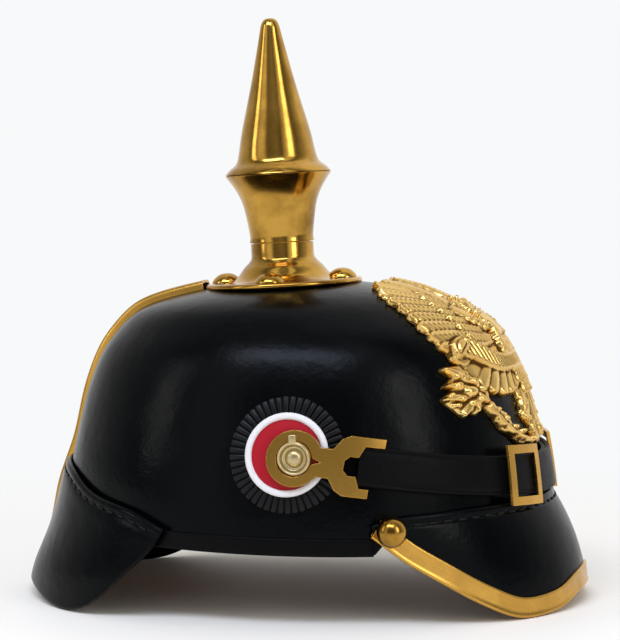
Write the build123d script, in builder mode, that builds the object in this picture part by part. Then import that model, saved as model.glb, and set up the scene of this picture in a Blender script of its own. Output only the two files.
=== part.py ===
from build123d import *
import os
from math import atan2, cos, pi, radians, sin, sqrt

# Spiked leather dress helmet, in millimetres. It stands on its neck guard and front visor.
# X points to the front, Y to the wearer's left, Z up. The helmet's own frame leans back a little.

os.makedirs("parts", exist_ok=True)

# Stance on the table
foot_forward = 0.7
overrun = 4.0
fit_gap = 0.1
air_gap = 0.3
skin_gap = 0.05
slope_step = 1.0

# Leather skull: heights of its level sections, with reach to the front and rear of the spike axis
skull_height = 148.7
skull_front = 115.6
skull_rear = 107.0
skull_width = 184.0
leather = 2.6
vent_radius = 9.0
level_shares = (0.17, 0.32, 0.457, 0.551, 0.659, 0.753, 0.834, 0.894, 0.942, 0.975, 1.0)
front_shares = (1.0, 0.998, 0.979, 0.958, 0.922, 0.874, 0.803, 0.703, 0.59, 0.465, 0.30)
rear_shares = (1.0, 0.998, 0.986, 0.955, 0.911, 0.864, 0.805, 0.735, 0.655, 0.53, 0.35)
width_shares = (1.0, 0.998, 0.98, 0.957, 0.917, 0.869, 0.803, 0.718, 0.625, 0.5, 0.34)

# Lower edge of the skull in side view
guard_lap = 11.0
visor_lap = 8.0
side_edge_rear_z = 41.0
side_edge_front_z = 34.5
side_edge_rear_x = -47.0
side_edge_front_x = 53.0
band_height = 7.6
band_thickness = 1.2

# Neck guard: level sections as height, rear reach, centre and half width
guard_leather = 2.8
guard_levels = ((86.0, 103.6, 3.6, 91.5), (74.0, 107.4, 3.5, 93.5), (60.0, 111.5, 1.0, 94.6),
                (38.0, 120.0, -5.0, 94.8), (27.0, 125.6, -8.0, 94.8), (16.0, 129.2, -10.0, 94.5),
                (2.0, 130.6, -11.0, 94.2))
guard_top = ((-38.0, 49.0), (-45.0, 52.5), (-56.0, 57.5), (-72.0, 61.5), (-84.0, 67.0),
             (-95.0, 74.5), (-108.0, 80.0), (-140.0, 83.0))
guard_bottom = ((-140.0, 18.5), (-123.0, 17.5), (-113.5, 14.8), (-103.5, 11.5), (-93.5, 10.3),
                (-83.0, 12.6), (-72.5, 18.8), (-56.0, 31.5), (-45.5, 40.0))

# Front visor: level sections as height, front reach, centre and half width
visor_leather = 2.8
visor_levels = ((56.0, 117.6, 4.2, 94.4), (51.5, 118.8, 4.2, 94.8), (44.0, 122.4, 5.0, 94.6),
                (20.0, 131.2, 8.0, 92.5), (10.0, 132.7, 9.0, 91.4), (-4.0, 133.2, 9.0, 90.6))
visor_top = ((53.0, 48.2), (60.0, 50.2), (72.0, 51.1), (92.0, 51.2), (118.0, 50.9), (140.0, 50.9))
visor_bottom = ((140.0, 8.6), (132.0, 6.4), (127.5, 2.9), (120.0, 0.9), (111.0, 1.3), (99.8, 6.4),
                (89.0, 13.3), (78.6, 20.5), (65.1, 29.9), (56.6, 37.6), (51.5, 42.6))
visor_low_point = (116.5, 0.75)
guard_low_point = (-93.5, 10.3)
trim_width = 8.4
trim_brass = 1.0

# Ball studs at the visor's corners
ball_radius = 6.6
ball_place = (59.0, 45.2)
ball_stand = 7.6
shank_radius = 1.7
nut_across = 6.0
nut_height = 2.4

# Rear spine: a raised brass channel from the flange to the lower edge of the neck guard
spine_width = 13.0
spine_rise = 4.0
spine_brass = 1.0
spine_inside = (-38.4, 113.6)
spine_deep = (-76.8, 82.0)
spine_bottom_z = 15.5
spine_pin_heights = (124.0, 88.0)

# Spike base: flange, trumpet and collar
flange_radius = 36.5
flange_rise = 2.2
flange_round = 0.9
collar_radius = 14.6
collar_top = 168.4
collar_start = 161.4
trumpet_high = (16.1, 158.6)
trumpet_low = (18.6, 155.4)
trumpet_foot = (21.8, 151.9)
base_brass = 1.4
stud_circle = 28.4
stud_radius = 6.1
stud_rise = 3.6
stud_count = 4
crown_plate_radius = 30.3
crown_plate_thickness = 1.2

# Spike: a hollow cone on a waisted neck, with a rounded ridge between them
spike_tip = 272.2
spike_brass = 1.2
tip_round = 3.6
ridge_radius = 24.6
ridge_height = 200.3
ridge_lip = 0.6
neck_foot_radius = 15.3
neck_foot_lip = 0.5
neck_low = (15.9, 180.3)
neck_mid = (17.9, 189.3)
neck_top = (20.2, 193.9)
neck_edge = (23.9, 199.2)
cone_edge = (23.9, 201.5)
cone_low = (21.4, 203.9)
cone_foot = (18.3, 208.4)
cone_mid = (16.6, 216.9)
cone_high = (9.8, 244.2)
cone_top = (4.9, 266.6)
spigot_seat = 7.0

# Side posts, their discs and the fork lugs of the chin strap
post_x = 22.8
post_z = 78.6
post_radius = 2.4
knob_radius = 7.3
knob_height = 4.6
knob_dish = 2.2
knob_rim = 1.7
knob_dome = 2.1
nose_reach = 10.2
nose_width = 3.2
rosette_offset_x = -4.2
rosette_offset_z = 0.9
rosette_radius = 24.8
rosette_thickness = 1.5
ring_outer = 17.6
ring_inner = 14.7
ring_rise = 1.5
dish_thickness = 0.6

# Chin strap: two leather straps that overlap at the front and two sliding buckles
strap_width = 17.0
strap_leather = 1.9
strap_slope = 0.198
strap_mid_z = 61.0
strap_step = 3.0
lug_gap = 0.2
buckle_y = 35.0
strap_clear = 2.1
lug_brass = 1.2
lug_radius = 11.9
lug_neck = 6.2
lug_waist = 15.5
fork_length = 36.3
fork_root = 18.6
fork_shoulder = 22.0
fork_half = 12.6
prong = 3.8
slot_start = 21.0
slot_mouth = 26.5
slot_half = 4.0
notch_reach = 11.2
notch_half = 2.2
buckle_height = 26.2
buckle_width = 23.4
buckle_drop = 0.4
buckle_bar = 3.6
buckle_brass = 1.5

# Leather liner with tongues
liner_leather = 1.4
liner_top = 122.0
liner_fold = 66.0
liner_mouth = 58.0
tongue_count = 12
tongue_gap = 5.0
liner_low = 50.0

# Eagle plate, seen square to its tilted face: distance from the middle and height, upper body first
plate_tilt = 38.0
plate_gap = 0.15
plate_skin = 1.5
plate_boss = 2.5
head_line = ((5.0, 33.0), (6.0, 38.0), (5.0, 43.0), (1.5, 47.0), (-4.0, 47.0), (-9.0, 43.6), (-9.2, 41.6),
             (-5.6, 40.2), (-5.0, 33.0))
crown_line = ((-4.5, 46.5), (-7.8, 51.5), (-6.0, 56.0), (0.0, 58.0), (6.0, 56.0), (7.8, 51.5), (4.5, 46.5))
wing_line = ((9.0, 21.0), (8.0, 33.0), (10.0, 38.0), (11.0, 45.0), (9.5, 52.0), (7.0, 59.0), (6.8, 68.0),
             (5.6, 77.0), (6.5, 84.5), (13.5, 88.0), (24.0, 84.0), (32.0, 79.0), (36.0, 74.0), (37.6, 68.2),
             (40.4, 64.7), (44.4, 57.8), (44.2, 52.4), (46.0, 46.0), (44.2, 39.2), (44.0, 32.8), (40.0, 27.0))
shoulder_line = ((12.0, 40.0), (18.0, 41.0), (21.5, 48.0), (18.5, 56.0), (11.0, 58.0), (13.0, 48.0))
feather_roots = ((18.0, 41.0), (20.0, 46.0), (20.5, 51.0), (19.0, 55.5), (15.5, 59.0), (12.0, 61.0))
feather_tips = ((43.0, 37.5), (45.0, 46.0), (43.4, 54.0), (42.6, 60.0), (37.8, 67.0), (33.0, 75.5))
feather_width = 5.2
tip_share = 0.8
fan_line = ((0.0, 6.0), (12.5, 8.5), (17.0, 9.9), (25.0, 10.7), (35.0, 14.7), (38.8, 19.8), (43.0, 30.0),
            (40.0, 35.0), (0.0, 35.0))
fan_roots = ((4.0, 19.0), (11.5, 19.0), (19.0, 19.6), (26.0, 23.0))
fan_tips = ((4.4, 8.6), (13.4, 10.6), (23.0, 12.2), (33.0, 15.6))
fan_width = 6.0
banner_line = ((0.0, 19.4), (12.0, 19.2), (20.5, 19.7), (26.3, 22.9), (34.3, 30.2), (41.0, 37.6), (36.0, 42.0),
               (31.0, 40.0), (24.4, 32.2), (15.2, 26.6), (0.0, 25.2))
claw_line = ((38.0, 33.0), (43.5, 33.5), (51.0, 37.0), (49.8, 31.5), (54.4, 30.0), (51.5, 26.5), (57.0, 26.0),
             (54.5, 19.0), (51.0, 13.4), (45.0, 13.4), (41.0, 16.5), (37.5, 19.0))
head_boss = ((0.0, 36.5), (9.3, 36.5), (9.9, 45.0), (8.6, 52.0), (6.8, 60.0), (0.0, 60.0))
claw_boss = ((41.0, 30.0), (47.0, 31.5), (50.0, 25.0), (50.5, 17.5), (45.0, 16.0), (40.5, 21.0))
branch_line = ((40.0, 21.0), (40.5, 16.0), (37.0, 8.5), (33.5, -1.3), (22.0, -10.5), (14.0, -13.0),
               (6.0, -13.0), (8.0, -11.0), (13.7, -8.6), (23.0, -1.5), (26.0, 5.0), (33.0, 10.5), (36.5, 18.0))
tail_line = ((0.0, 12.0), (13.5, 12.0), (14.5, 1.0), (9.0, -5.0), (7.5, -9.5), (8.0, -13.0), (0.0, -13.0))
plate_post_place = (26.0, 131.0)

lean = atan2(guard_low_point[1] - visor_low_point[1], visor_low_point[0] - guard_low_point[0])
foot_rise = -(visor_low_point[0] * sin(lean) + visor_low_point[1] * cos(lean))
helm = Plane(origin=(foot_forward, 0, foot_rise), x_dir=(cos(lean), 0, sin(lean)),
             z_dir=(-sin(lean), 0, cos(lean)))
side = Plane(origin=helm.origin, x_dir=helm.x_dir, z_dir=(0, -1, 0))
face = Plane(origin=helm.origin, x_dir=(0, 1, 0), z_dir=helm.x_dir)
strap_tilt = atan2(strap_slope, 1)
strap_side = Plane(origin=helm.from_local_coords((post_x, 0, post_z)), z_dir=(0, -1, 0),
                   x_dir=(cos(lean - strap_tilt), 0, sin(lean - strap_tilt)))
middle = Plane.XZ
wide = skull_width


# One level section of the skull: height, centre, half length and half width
def skull_level(i, grow):
    z = skull_height * level_shares[i]
    before = max(i - 1, 0)
    after = min(i + 1, len(level_shares) - 1)
    rise = skull_height * (level_shares[after] - level_shares[before])
    half = (skull_front + skull_rear) / 2
    inward = half * (front_shares[before] + rear_shares[before] - front_shares[after] - rear_shares[after]) / 2
    length = sqrt(rise * rise + inward * inward)
    out = grow * rise / length
    front = skull_front * front_shares[i] + out
    rear = skull_rear * rear_shares[i] + out
    width = skull_width / 2 * width_shares[i] + out
    return z + grow * inward / length, (front - rear) / 2, (front + rear) / 2, width


# The skull's outer form, grown outwards by a distance
def skull_form(grow):
    with BuildPart() as form:
        for i in range(len(level_shares)):
            z, centre, length, width = skull_level(i, grow)
            with BuildSketch(helm.offset(z)):
                with Locations((centre, 0)):
                    Ellipse(length, width)
        loft()
    return form.part


# Half length, centre and half width of the grown skull at a height
def skull_at(z, grow):
    rows = [skull_level(i, grow) for i in range(len(level_shares))]
    for low, high in zip(rows, rows[1:]):
        if z <= high[0]:
            t = (z - low[0]) / (high[0] - low[0])
            return tuple(a + t * (b - a) for a, b in zip(low[1:], high[1:]))
    return rows[-1][1:]


# Distance of the skull's side from the middle plane
def skull_side(x, z, grow=0.0):
    centre, length, width = skull_at(z, grow)
    return width * sqrt(1 - ((x - centre) / length) ** 2)


# Distance of the skull's surface in front of or behind the spike axis
def skull_reach(z, grow=0.0, sign=1):
    centre, length, width = skull_at(z, grow)
    return centre + sign * length


# A flared form lofted through ellipses, grown outwards by a distance
def flared_form(levels, grow, sign):
    with BuildPart() as form:
        for z, reach, centre, width in levels:
            with BuildSketch(helm.offset(z)):
                with Locations((centre, 0)):
                    Ellipse(reach - sign * centre + grow, width + grow)
        loft()
    return form.part


# Points of an outline moved sideways by a distance, to the left of their direction
def shifted(points, distance):
    moved = []
    for i, (x, y) in enumerate(points):
        before = points[max(i - 1, 0)]
        after = points[min(i + 1, len(points) - 1)]
        dx, dy = after[0] - before[0], after[1] - before[1]
        length = sqrt(dx * dx + dy * dy)
        moved.append((x - distance * dy / length, y + distance * dx / length))
    return moved


# A side-view outline between two smooth lines, cut through the helmet's whole width
def side_band(first, second):
    with BuildPart() as band:
        with BuildSketch(side):
            with BuildLine():
                low = Spline(*first)
                high = Spline(*second)
                Line(low @ 1, high @ 0)
                Line(high @ 1, low @ 0)
            make_face()
        extrude(amount=wide, both=True)
    return band.part


# Everything above the skull's lower edge, raised by a distance
def above_edge(rise):
    rear = [(x, z - guard_lap + rise) for x, z in guard_top[:2:-1]]
    middle = [(side_edge_rear_x, side_edge_rear_z + rise), (side_edge_front_x, side_edge_front_z + rise)]
    front = [(x, z - visor_lap + rise) for x, z in visor_top[1:]]
    top = skull_height + overrun
    with BuildPart() as region:
        with BuildSketch(side):
            with BuildLine():
                Polyline(*rear, *middle, *front, (front[-1][0], top), (rear[0][0], top), close=True)
            make_face()
        extrude(amount=wide, both=True)
    return region.part


# A round rod or hole along Y through both sides, at a place in side view
def side_rod(x, z, radius):
    with BuildPart() as rod:
        with BuildSketch(side):
            with Locations((x, z)):
                Circle(radius)
        extrude(amount=wide, both=True)
    return rod.part


# A direction given in the helmet's frame
def aim(x, y, z):
    return helm.x_dir * x + helm.y_dir * y + helm.z_dir * z


# Outward direction of the skull's surface at a point of its side, in the helmet's frame
def outward(x, z):
    centre, length, width = skull_at(z, 0)
    y = skull_side(x, z)
    slope = (skull_side(x, z + slope_step) - skull_side(x, z - slope_step)) / (2 * slope_step)
    nx = (x - centre) / length ** 2
    ny = -y / width ** 2
    size = sqrt(nx * nx + ny * ny)
    flat = sqrt(1 + slope * slope)
    return nx / size / flat, ny / size / flat, -slope / flat


grown_forms = {}


# The skull's form grown by a distance, worked out once
def grown(distance):
    if distance not in grown_forms:
        grown_forms[distance] = skull_form(distance)
    return grown_forms[distance]


# A mirrored outline in front view, from points at one side of the middle
def both_sides(points):
    return list(points) + [(-y, z) for y, z in reversed(points) if y > 0]


# A plane square to the skull's right side, at a distance above its surface
def square_plane(x, z, distance):
    out = aim(*outward(x, z))
    return Plane(origin=helm.from_local_coords((x, -skull_side(x, z), z)) + out * distance, z_dir=out)


# A round rod through both sides of the helmet, between two levels
def rod_pair(x, z, radius, start, end):
    with BuildPart() as rods:
        with BuildSketch(square_plane(x, z, start)):
            Circle(radius)
        extrude(amount=end - start)
        mirror(about=middle)
    return rods.part


# A hexagonal nut against the inside of the skull, at both sides
def nut_pair(x, z, start):
    with BuildPart() as nuts:
        with BuildSketch(square_plane(x, z, start)):
            RegularPolygon(nut_across / 2, 6, major_radius=False)
            Circle(stud_hole, mode=Mode.SUBTRACT)
        extrude(amount=-nut_height)
        mirror(about=middle)
    return nuts.part


# A half profile turned round the spike's axis
def turned(points):
    with BuildPart() as form:
        with BuildSketch(face):
            with BuildLine():
                Polyline(*points, close=True)
            make_face()
        revolve(axis=Axis(helm.origin, helm.z_dir))
    return form.part


# A half profile with a smooth outer line, turned round the spike's axis
def turned_smooth(curve, corners):
    with BuildPart() as form:
        with BuildSketch(face):
            with BuildLine():
                outer = Spline(*curve)
                Polyline(outer @ 1, *corners, outer @ 0)
            make_face()
        revolve(axis=Axis(helm.origin, helm.z_dir))
    return form.part


# Place on the front of the skull at a distance from the middle
def front_x(y, z):
    centre, length, width = skull_at(z, 0)
    return centre + length * sqrt(1 - (y / width) ** 2)


# Shared places of the fasteners
stud_hole = shank_radius + fit_gap
post_y = skull_side(post_x, post_z)
plate_x = front_x(*plate_post_place)
ball_x, ball_z = ball_place
guard_block = flared_form(guard_levels, 0.0, -1) & side_band(guard_bottom, guard_top)
visor_edge = shifted(visor_bottom, -trim_brass)
visor_block = flared_form(visor_levels, 0.0, 1) & side_band(visor_top, visor_edge)
trim_skin = flared_form(visor_levels, trim_brass, 1)
ball_holes = rod_pair(ball_x, ball_z, stud_hole, -leather - overrun, ball_stand + 2 * overrun)
plate_holes = rod_pair(plate_x, plate_post_place[1], stud_hole, -leather - overrun, overrun / 2)
pin_radius = shank_radius - fit_gap


# Pins of the rear spine, from inside the channel to inside the skull
def spine_pin_set(radius, inner, outer):
    with BuildPart() as pins:
        for z in spine_pin_heights:
            reach = -skull_reach(z, 0, -1)
            foot = Plane(origin=helm.from_local_coords((-(reach - leather - inner), 0, z)), z_dir=-helm.x_dir)
            with BuildSketch(foot):
                Circle(radius)
            extrude(amount=leather + inner + outer)
    return pins.part


pin_holes = spine_pin_set(stud_hole, overrun, 3 * overrun)

# Leather skull with its vent and fastener holes
with BuildPart() as skull:
    add(grown(0.0))
    add(grown(-leather), mode=Mode.SUBTRACT)
    add(above_edge(0.0), mode=Mode.INTERSECT)
    with BuildSketch(helm.offset(skull_height - leather - overrun)):
        Circle(vent_radius)
        with PolarLocations(stud_circle, stud_count):
            Circle(stud_hole)
    extrude(amount=leather + 2 * overrun, mode=Mode.SUBTRACT)
    add(side_rod(post_x, post_z, post_radius + fit_gap), mode=Mode.SUBTRACT)
    add(ball_holes, mode=Mode.SUBTRACT)
    add(plate_holes, mode=Mode.SUBTRACT)
    add(pin_holes, mode=Mode.SUBTRACT)
skull.part.label = "skull"
export_step(skull.part, "parts/skull.step")

# Raised band along the skull's lower edge between the visor and the guard
with BuildPart() as edge_band_right:
    with BuildSketch(side):
        with BuildLine():
            Polyline((side_edge_rear_x, side_edge_rear_z), (side_edge_front_x, side_edge_front_z),
                     (side_edge_front_x, side_edge_front_z + band_height),
                     (side_edge_rear_x, side_edge_rear_z + band_height), close=True)
        make_face()
    extrude(amount=wide)
    add(grown(band_thickness), mode=Mode.INTERSECT)
    add(grown(skin_gap), mode=Mode.SUBTRACT)
    add(guard_block, mode=Mode.SUBTRACT)
    add(visor_block, mode=Mode.SUBTRACT)
edge_band_right.part.label = "edge_band_right"
export_step(edge_band_right.part, "parts/edge_band_right.step")
with BuildPart() as edge_band_left:
    mirror(edge_band_right.part, about=middle)
edge_band_left.part.label = "edge_band_left"
export_step(edge_band_left.part, "parts/edge_band_left.step")

# Neck guard
with BuildPart() as neck_guard:
    add(guard_block)
    add(flared_form(guard_levels, -guard_leather, -1), mode=Mode.SUBTRACT)
    add(grown(skin_gap), mode=Mode.SUBTRACT)
    add(pin_holes, mode=Mode.SUBTRACT)
neck_guard.part.label = "neck_guard"
export_step(neck_guard.part, "parts/neck_guard.step")

# Front visor
with BuildPart() as front_visor:
    add(visor_block)
    add(flared_form(visor_levels, -visor_leather, 1), mode=Mode.SUBTRACT)
    add(grown(skin_gap), mode=Mode.SUBTRACT)
    add(ball_holes, mode=Mode.SUBTRACT)
front_visor.part.label = "front_visor"
export_step(front_visor.part, "parts/front_visor.step")

# Brass trim folded round the visor's edge
trim_high = shifted(visor_bottom, -trim_width)
with BuildPart() as visor_trim:
    add(trim_skin)
    add(side_band(trim_high[::-1], visor_bottom), mode=Mode.INTERSECT)
    add(flared_form(visor_levels, -visor_leather - trim_brass, 1), mode=Mode.SUBTRACT)
    add(front_visor.part, mode=Mode.SUBTRACT)
    add(grown(band_thickness + skin_gap), mode=Mode.SUBTRACT)
    add(ball_holes, mode=Mode.SUBTRACT)
visor_trim.part.label = "visor_trim"
export_step(visor_trim.part, "parts/visor_trim.step")

# Ball studs at the visor's corners, with their nuts
ball_nut_start = -leather - fit_gap
with BuildPart() as trim_studs:
    with Locations(square_plane(ball_x, ball_z, ball_stand)):
        Sphere(ball_radius)
    mirror(about=middle)
    add(flared_form(visor_levels, trim_brass + skin_gap, 1), mode=Mode.SUBTRACT)
    add(rod_pair(ball_x, ball_z, shank_radius, ball_nut_start - nut_height, ball_stand + fit_gap))
trim_studs.part.label = "trim_studs"
export_step(trim_studs.part, "parts/trim_studs.step")
with BuildPart() as trim_nuts:
    add(nut_pair(ball_x, ball_z, ball_nut_start))
trim_nuts.part.label = "trim_nuts"
export_step(trim_nuts.part, "parts/trim_nuts.step")

# Rear spine, a channel laid over the skull and the guard
guard_rows = [row for row in guard_levels if row[0] < guard_levels[1][0]]
skull_rows = [skull_level(i, spine_rise) for i in range(len(level_shares) - 1, 2, -1)]
spine_line = [(centre - length, z) for z, centre, length, width in skull_rows]
spine_line += [(-reach - spine_rise, z) for z, reach, centre, width in guard_rows[:-1]]
spine_line += [(-guard_rows[-1][1] - spine_rise, spine_bottom_z)]
inner_line = shifted(spine_line, spine_brass)
spine_foot_x = -guard_rows[-1][1] + guard_leather + spine_brass
with BuildPart() as spine_void:
    with BuildSketch(side):
        with BuildLine():
            web = Spline(*inner_line[:-1])
            Polyline(web @ 1, (spine_foot_x + overrun, inner_line[-2][1]), spine_deep, spine_inside, web @ 0)
        make_face()
    extrude(amount=spine_width / 2 - spine_brass, both=True)
with BuildPart() as rear_spine:
    with BuildSketch(side):
        with BuildLine():
            back = Spline(*spine_line)
            Polyline(back @ 1, (spine_foot_x, spine_bottom_z), spine_deep, spine_inside, back @ 0)
        make_face()
    extrude(amount=spine_width / 2, both=True)
    add(spine_void.part, mode=Mode.SUBTRACT)
    add(grown(skin_gap), mode=Mode.SUBTRACT)
    add(flared_form(guard_levels, skin_gap, -1) & side_band(guard_bottom, guard_top), mode=Mode.SUBTRACT)
rear_spine.part.label = "rear_spine"
export_step(rear_spine.part, "parts/rear_spine.step")
with BuildPart() as spine_pins:
    add(spine_pin_set(nut_across / 2, 2 * nut_height, 0))
    add(grown(-leather - skin_gap), mode=Mode.INTERSECT)
    add(spine_pin_set(pin_radius, 2 * nut_height, overrun / 2))
spine_pins.part.label = "spine_pins"
export_step(spine_pins.part, "parts/spine_pins.step")

# Spike base: flange, trumpet and collar over the crown
base_floor = skull_height - overrun
bore = collar_radius - base_brass
flange_top = skull_height + flange_rise
foot_radius, foot_level = trumpet_foot
trumpet_curve = (trumpet_foot, trumpet_low, trumpet_high, (collar_radius, collar_start))
trumpet_inside = [(r - base_brass, z - base_brass / 2) for r, z in trumpet_curve[:-1]] + [(bore, collar_start)]
with BuildPart() as spike_base:
    add(turned_smooth(trumpet_curve, ((collar_radius, collar_top), (0, collar_top), (0, base_floor),
                                      (foot_radius, base_floor))))
    add(turned(((0, base_floor), (flange_radius - flange_round, base_floor),
                (flange_radius, base_floor + flange_round), (flange_radius, flange_top - flange_round),
                (flange_radius - flange_round, flange_top), (0, flange_top))))
    add(turned(((0, base_floor), (foot_radius - base_brass, base_floor), *trumpet_inside,
                (bore, collar_top + overrun), (0, collar_top + overrun))), mode=Mode.SUBTRACT)
    add(grown(skin_gap), mode=Mode.SUBTRACT)
    with BuildSketch(helm.offset(skull_height - leather - overrun)):
        with PolarLocations(stud_circle, stud_count):
            Circle(stud_hole)
    extrude(amount=leather + 3 * overrun, mode=Mode.SUBTRACT)
spike_base.part.label = "spike_base"
export_step(spike_base.part, "parts/spike_base.step")

# Plate inside the crown
inner_top = skull_height - leather - skin_gap
with BuildPart() as crown_plate:
    with BuildSketch(helm.offset(inner_top - crown_plate_thickness)):
        Circle(crown_plate_radius)
        Circle(vent_radius, mode=Mode.SUBTRACT)
        with PolarLocations(stud_circle, stud_count):
            Circle(stud_hole, mode=Mode.SUBTRACT)
    extrude(amount=crown_plate_thickness)
crown_plate.part.label = "crown_plate"
export_step(crown_plate.part, "parts/crown_plate.step")

# Dome studs of the flange and their nuts
nut_top = inner_top - crown_plate_thickness - skin_gap
dome = (stud_radius ** 2 + stud_rise ** 2) / (2 * stud_rise)
with BuildPart() as base_studs:
    with Locations(helm.offset(flange_top + skin_gap + stud_rise - dome)):
        with PolarLocations(stud_circle, stud_count):
            Sphere(dome)
    with BuildSketch(helm.offset(flange_top + skin_gap - 2 * dome)):
        Circle(flange_radius)
    extrude(amount=2 * dome, mode=Mode.SUBTRACT)
    with BuildSketch(helm.offset(nut_top - nut_height)):
        with PolarLocations(stud_circle, stud_count):
            Circle(shank_radius)
    extrude(amount=flange_top + fit_gap - nut_top + nut_height)
base_studs.part.label = "base_studs"
export_step(base_studs.part, "parts/base_studs.step")
with BuildPart() as base_nuts:
    with BuildSketch(helm.offset(nut_top - nut_height)):
        with PolarLocations(stud_circle, stud_count):
            RegularPolygon(nut_across / 2, 6, major_radius=False)
        with PolarLocations(stud_circle, stud_count):
            Circle(stud_hole, mode=Mode.SUBTRACT)
    extrude(amount=nut_height)
base_nuts.part.label = "base_nuts"
export_step(base_nuts.part, "parts/base_nuts.step")

# Spike: cone, waisted neck and the sleeve that enters the collar
seat_z = collar_top + air_gap
split_z = ridge_height
shoulder = seat_z + neck_foot_lip * 2
neck_start = (neck_foot_radius - neck_foot_lip, shoulder + neck_foot_lip * 2)
ridge_in = ridge_radius - spike_brass * 2
with BuildPart() as spike_neck:
    add(turned_smooth((neck_start, neck_low, neck_mid, neck_top, neck_edge),
                      ((ridge_radius, split_z - ridge_lip), (ridge_radius, split_z), (ridge_in, split_z),
                       (neck_top[0] - spike_brass, neck_top[1] + spike_brass / 2),
                       (neck_mid[0] - spike_brass, neck_mid[1]), (neck_low[0] - spike_brass, neck_low[1]),
                       (neck_foot_radius - spike_brass, seat_z), (neck_foot_radius, seat_z),
                       (neck_foot_radius, shoulder))))
spike_neck.part.label = "spike_neck"
export_step(spike_neck.part, "parts/spike_neck.step")
with BuildPart() as spike_cone:
    add(turned_smooth((cone_edge, cone_low, cone_foot, cone_mid, cone_high, cone_top),
                      ((tip_round, spike_tip - tip_round / 2), (tip_round / 2, spike_tip - tip_round / 8),
                       (0, spike_tip), (0, spike_tip - 2 * tip_round),
                       (cone_high[0] - spike_brass, cone_high[1]), (cone_foot[0] - spike_brass, cone_foot[1]),
                       (cone_low[0] - spike_brass, cone_low[1] - spike_brass), (ridge_in, split_z + skin_gap),
                       (ridge_radius, split_z + skin_gap), (ridge_radius, split_z + ridge_lip))))
spike_cone.part.label = "spike_cone"
export_step(spike_cone.part, "parts/spike_cone.step")
sleeve = bore - fit_gap
sleeve_low = seat_z - spigot_seat + air_gap
with BuildPart() as spike_spigot:
    add(turned(((sleeve - spike_brass, sleeve_low), (sleeve, sleeve_low), (sleeve, shoulder),
                (neck_foot_radius - spike_brass - skin_gap, shoulder),
                (neck_foot_radius - spike_brass - skin_gap, shoulder + spike_brass),
                (sleeve - spike_brass, shoulder + spike_brass))))
spike_spigot.part.label = "spike_spigot"
export_step(spike_spigot.part, "parts/spike_spigot.step")

# Side discs: pleated ring below, white ring and red dish above
rosette_x = post_x + rosette_offset_x
rosette_z = post_z + rosette_offset_z


# A disc laid on the right side of the skull
def side_disc(outer, inner, low, high):
    with BuildPart() as disc:
        with BuildSketch(side):
            with Locations((rosette_x, rosette_z)):
                Circle(outer)
                if inner > 0:
                    Circle(inner, mode=Mode.SUBTRACT)
        extrude(amount=wide)
        add(grown(high), mode=Mode.INTERSECT)
        add(grown(low), mode=Mode.SUBTRACT)
        add(side_rod(post_x, post_z, post_radius + fit_gap), mode=Mode.SUBTRACT)
    return disc.part


disc_low = rosette_thickness + skin_gap
dish_top = disc_low + dish_thickness
with BuildPart() as rosette_right:
    add(side_disc(rosette_radius, 0, skin_gap, rosette_thickness))
rosette_right.part.label = "rosette_right"
export_step(rosette_right.part, "parts/rosette_right.step")
with BuildPart() as rosette_left:
    mirror(rosette_right.part, about=middle)
rosette_left.part.label = "rosette_left"
export_step(rosette_left.part, "parts/rosette_left.step")
with BuildPart() as disc_right:
    add(side_disc(ring_outer, 0, disc_low, dish_top))
    add(side_disc(ring_outer, ring_inner, disc_low, disc_low + ring_rise))
disc_right.part.label = "disc_right"
export_step(disc_right.part, "parts/disc_right.step")
with BuildPart() as disc_left:
    mirror(disc_right.part, about=middle)
disc_left.part.label = "disc_left"
export_step(disc_left.part, "parts/disc_left.step")

# Side posts with a dished knob and a nose over the lug
knob_base = dish_top + skin_gap
knob_top = post_y + knob_base + knob_height
post_plane = Plane(origin=helm.from_local_coords((post_x, 0, post_z)), x_dir=helm.x_dir, z_dir=(0, -1, 0))
with BuildPart() as side_post_right:
    with BuildSketch(post_plane.offset(post_y)):
        Circle(knob_radius)
    extrude(amount=knob_base + knob_height)
    with BuildSketch(post_plane.offset(knob_top)):
        Circle(knob_radius - knob_rim)
    extrude(amount=-knob_dish, mode=Mode.SUBTRACT)
    with BuildSketch(post_plane.offset(knob_top - knob_dish)):
        Circle(knob_radius - 2 * knob_rim)
    extrude(amount=knob_dome)
    with BuildSketch(post_plane.offset(knob_top - knob_rim)):
        with Locations((0, (knob_radius - knob_rim / 2 + nose_reach) / 2)):
            Rectangle(nose_width, nose_reach - knob_radius + knob_rim / 2)
    extrude(amount=knob_rim)
    add(grown(knob_base), mode=Mode.SUBTRACT)
    with BuildSketch(post_plane.offset(post_y - leather - 2 * nut_height)):
        Circle(post_radius)
    extrude(amount=leather + 2 * nut_height + knob_base + knob_dish)
side_post_right.part.label = "side_post_right"
export_step(side_post_right.part, "parts/side_post_right.step")
with BuildPart() as side_post_left:
    mirror(side_post_right.part, about=middle)
side_post_left.part.label = "side_post_left"
export_step(side_post_left.part, "parts/side_post_left.step")
with BuildPart() as side_post_nuts:
    with BuildSketch(post_plane.offset(post_y - leather - 2 * nut_height)):
        RegularPolygon(nut_across / 2 + fit_gap, 6, major_radius=False)
        Circle(post_radius + fit_gap, mode=Mode.SUBTRACT)
    extrude(amount=2 * nut_height)
    add(grown(-leather - skin_gap), mode=Mode.INTERSECT)
    mirror(about=middle)
side_post_nuts.part.label = "side_post_nuts"
export_step(side_post_nuts.part, "parts/side_post_nuts.step")

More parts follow.
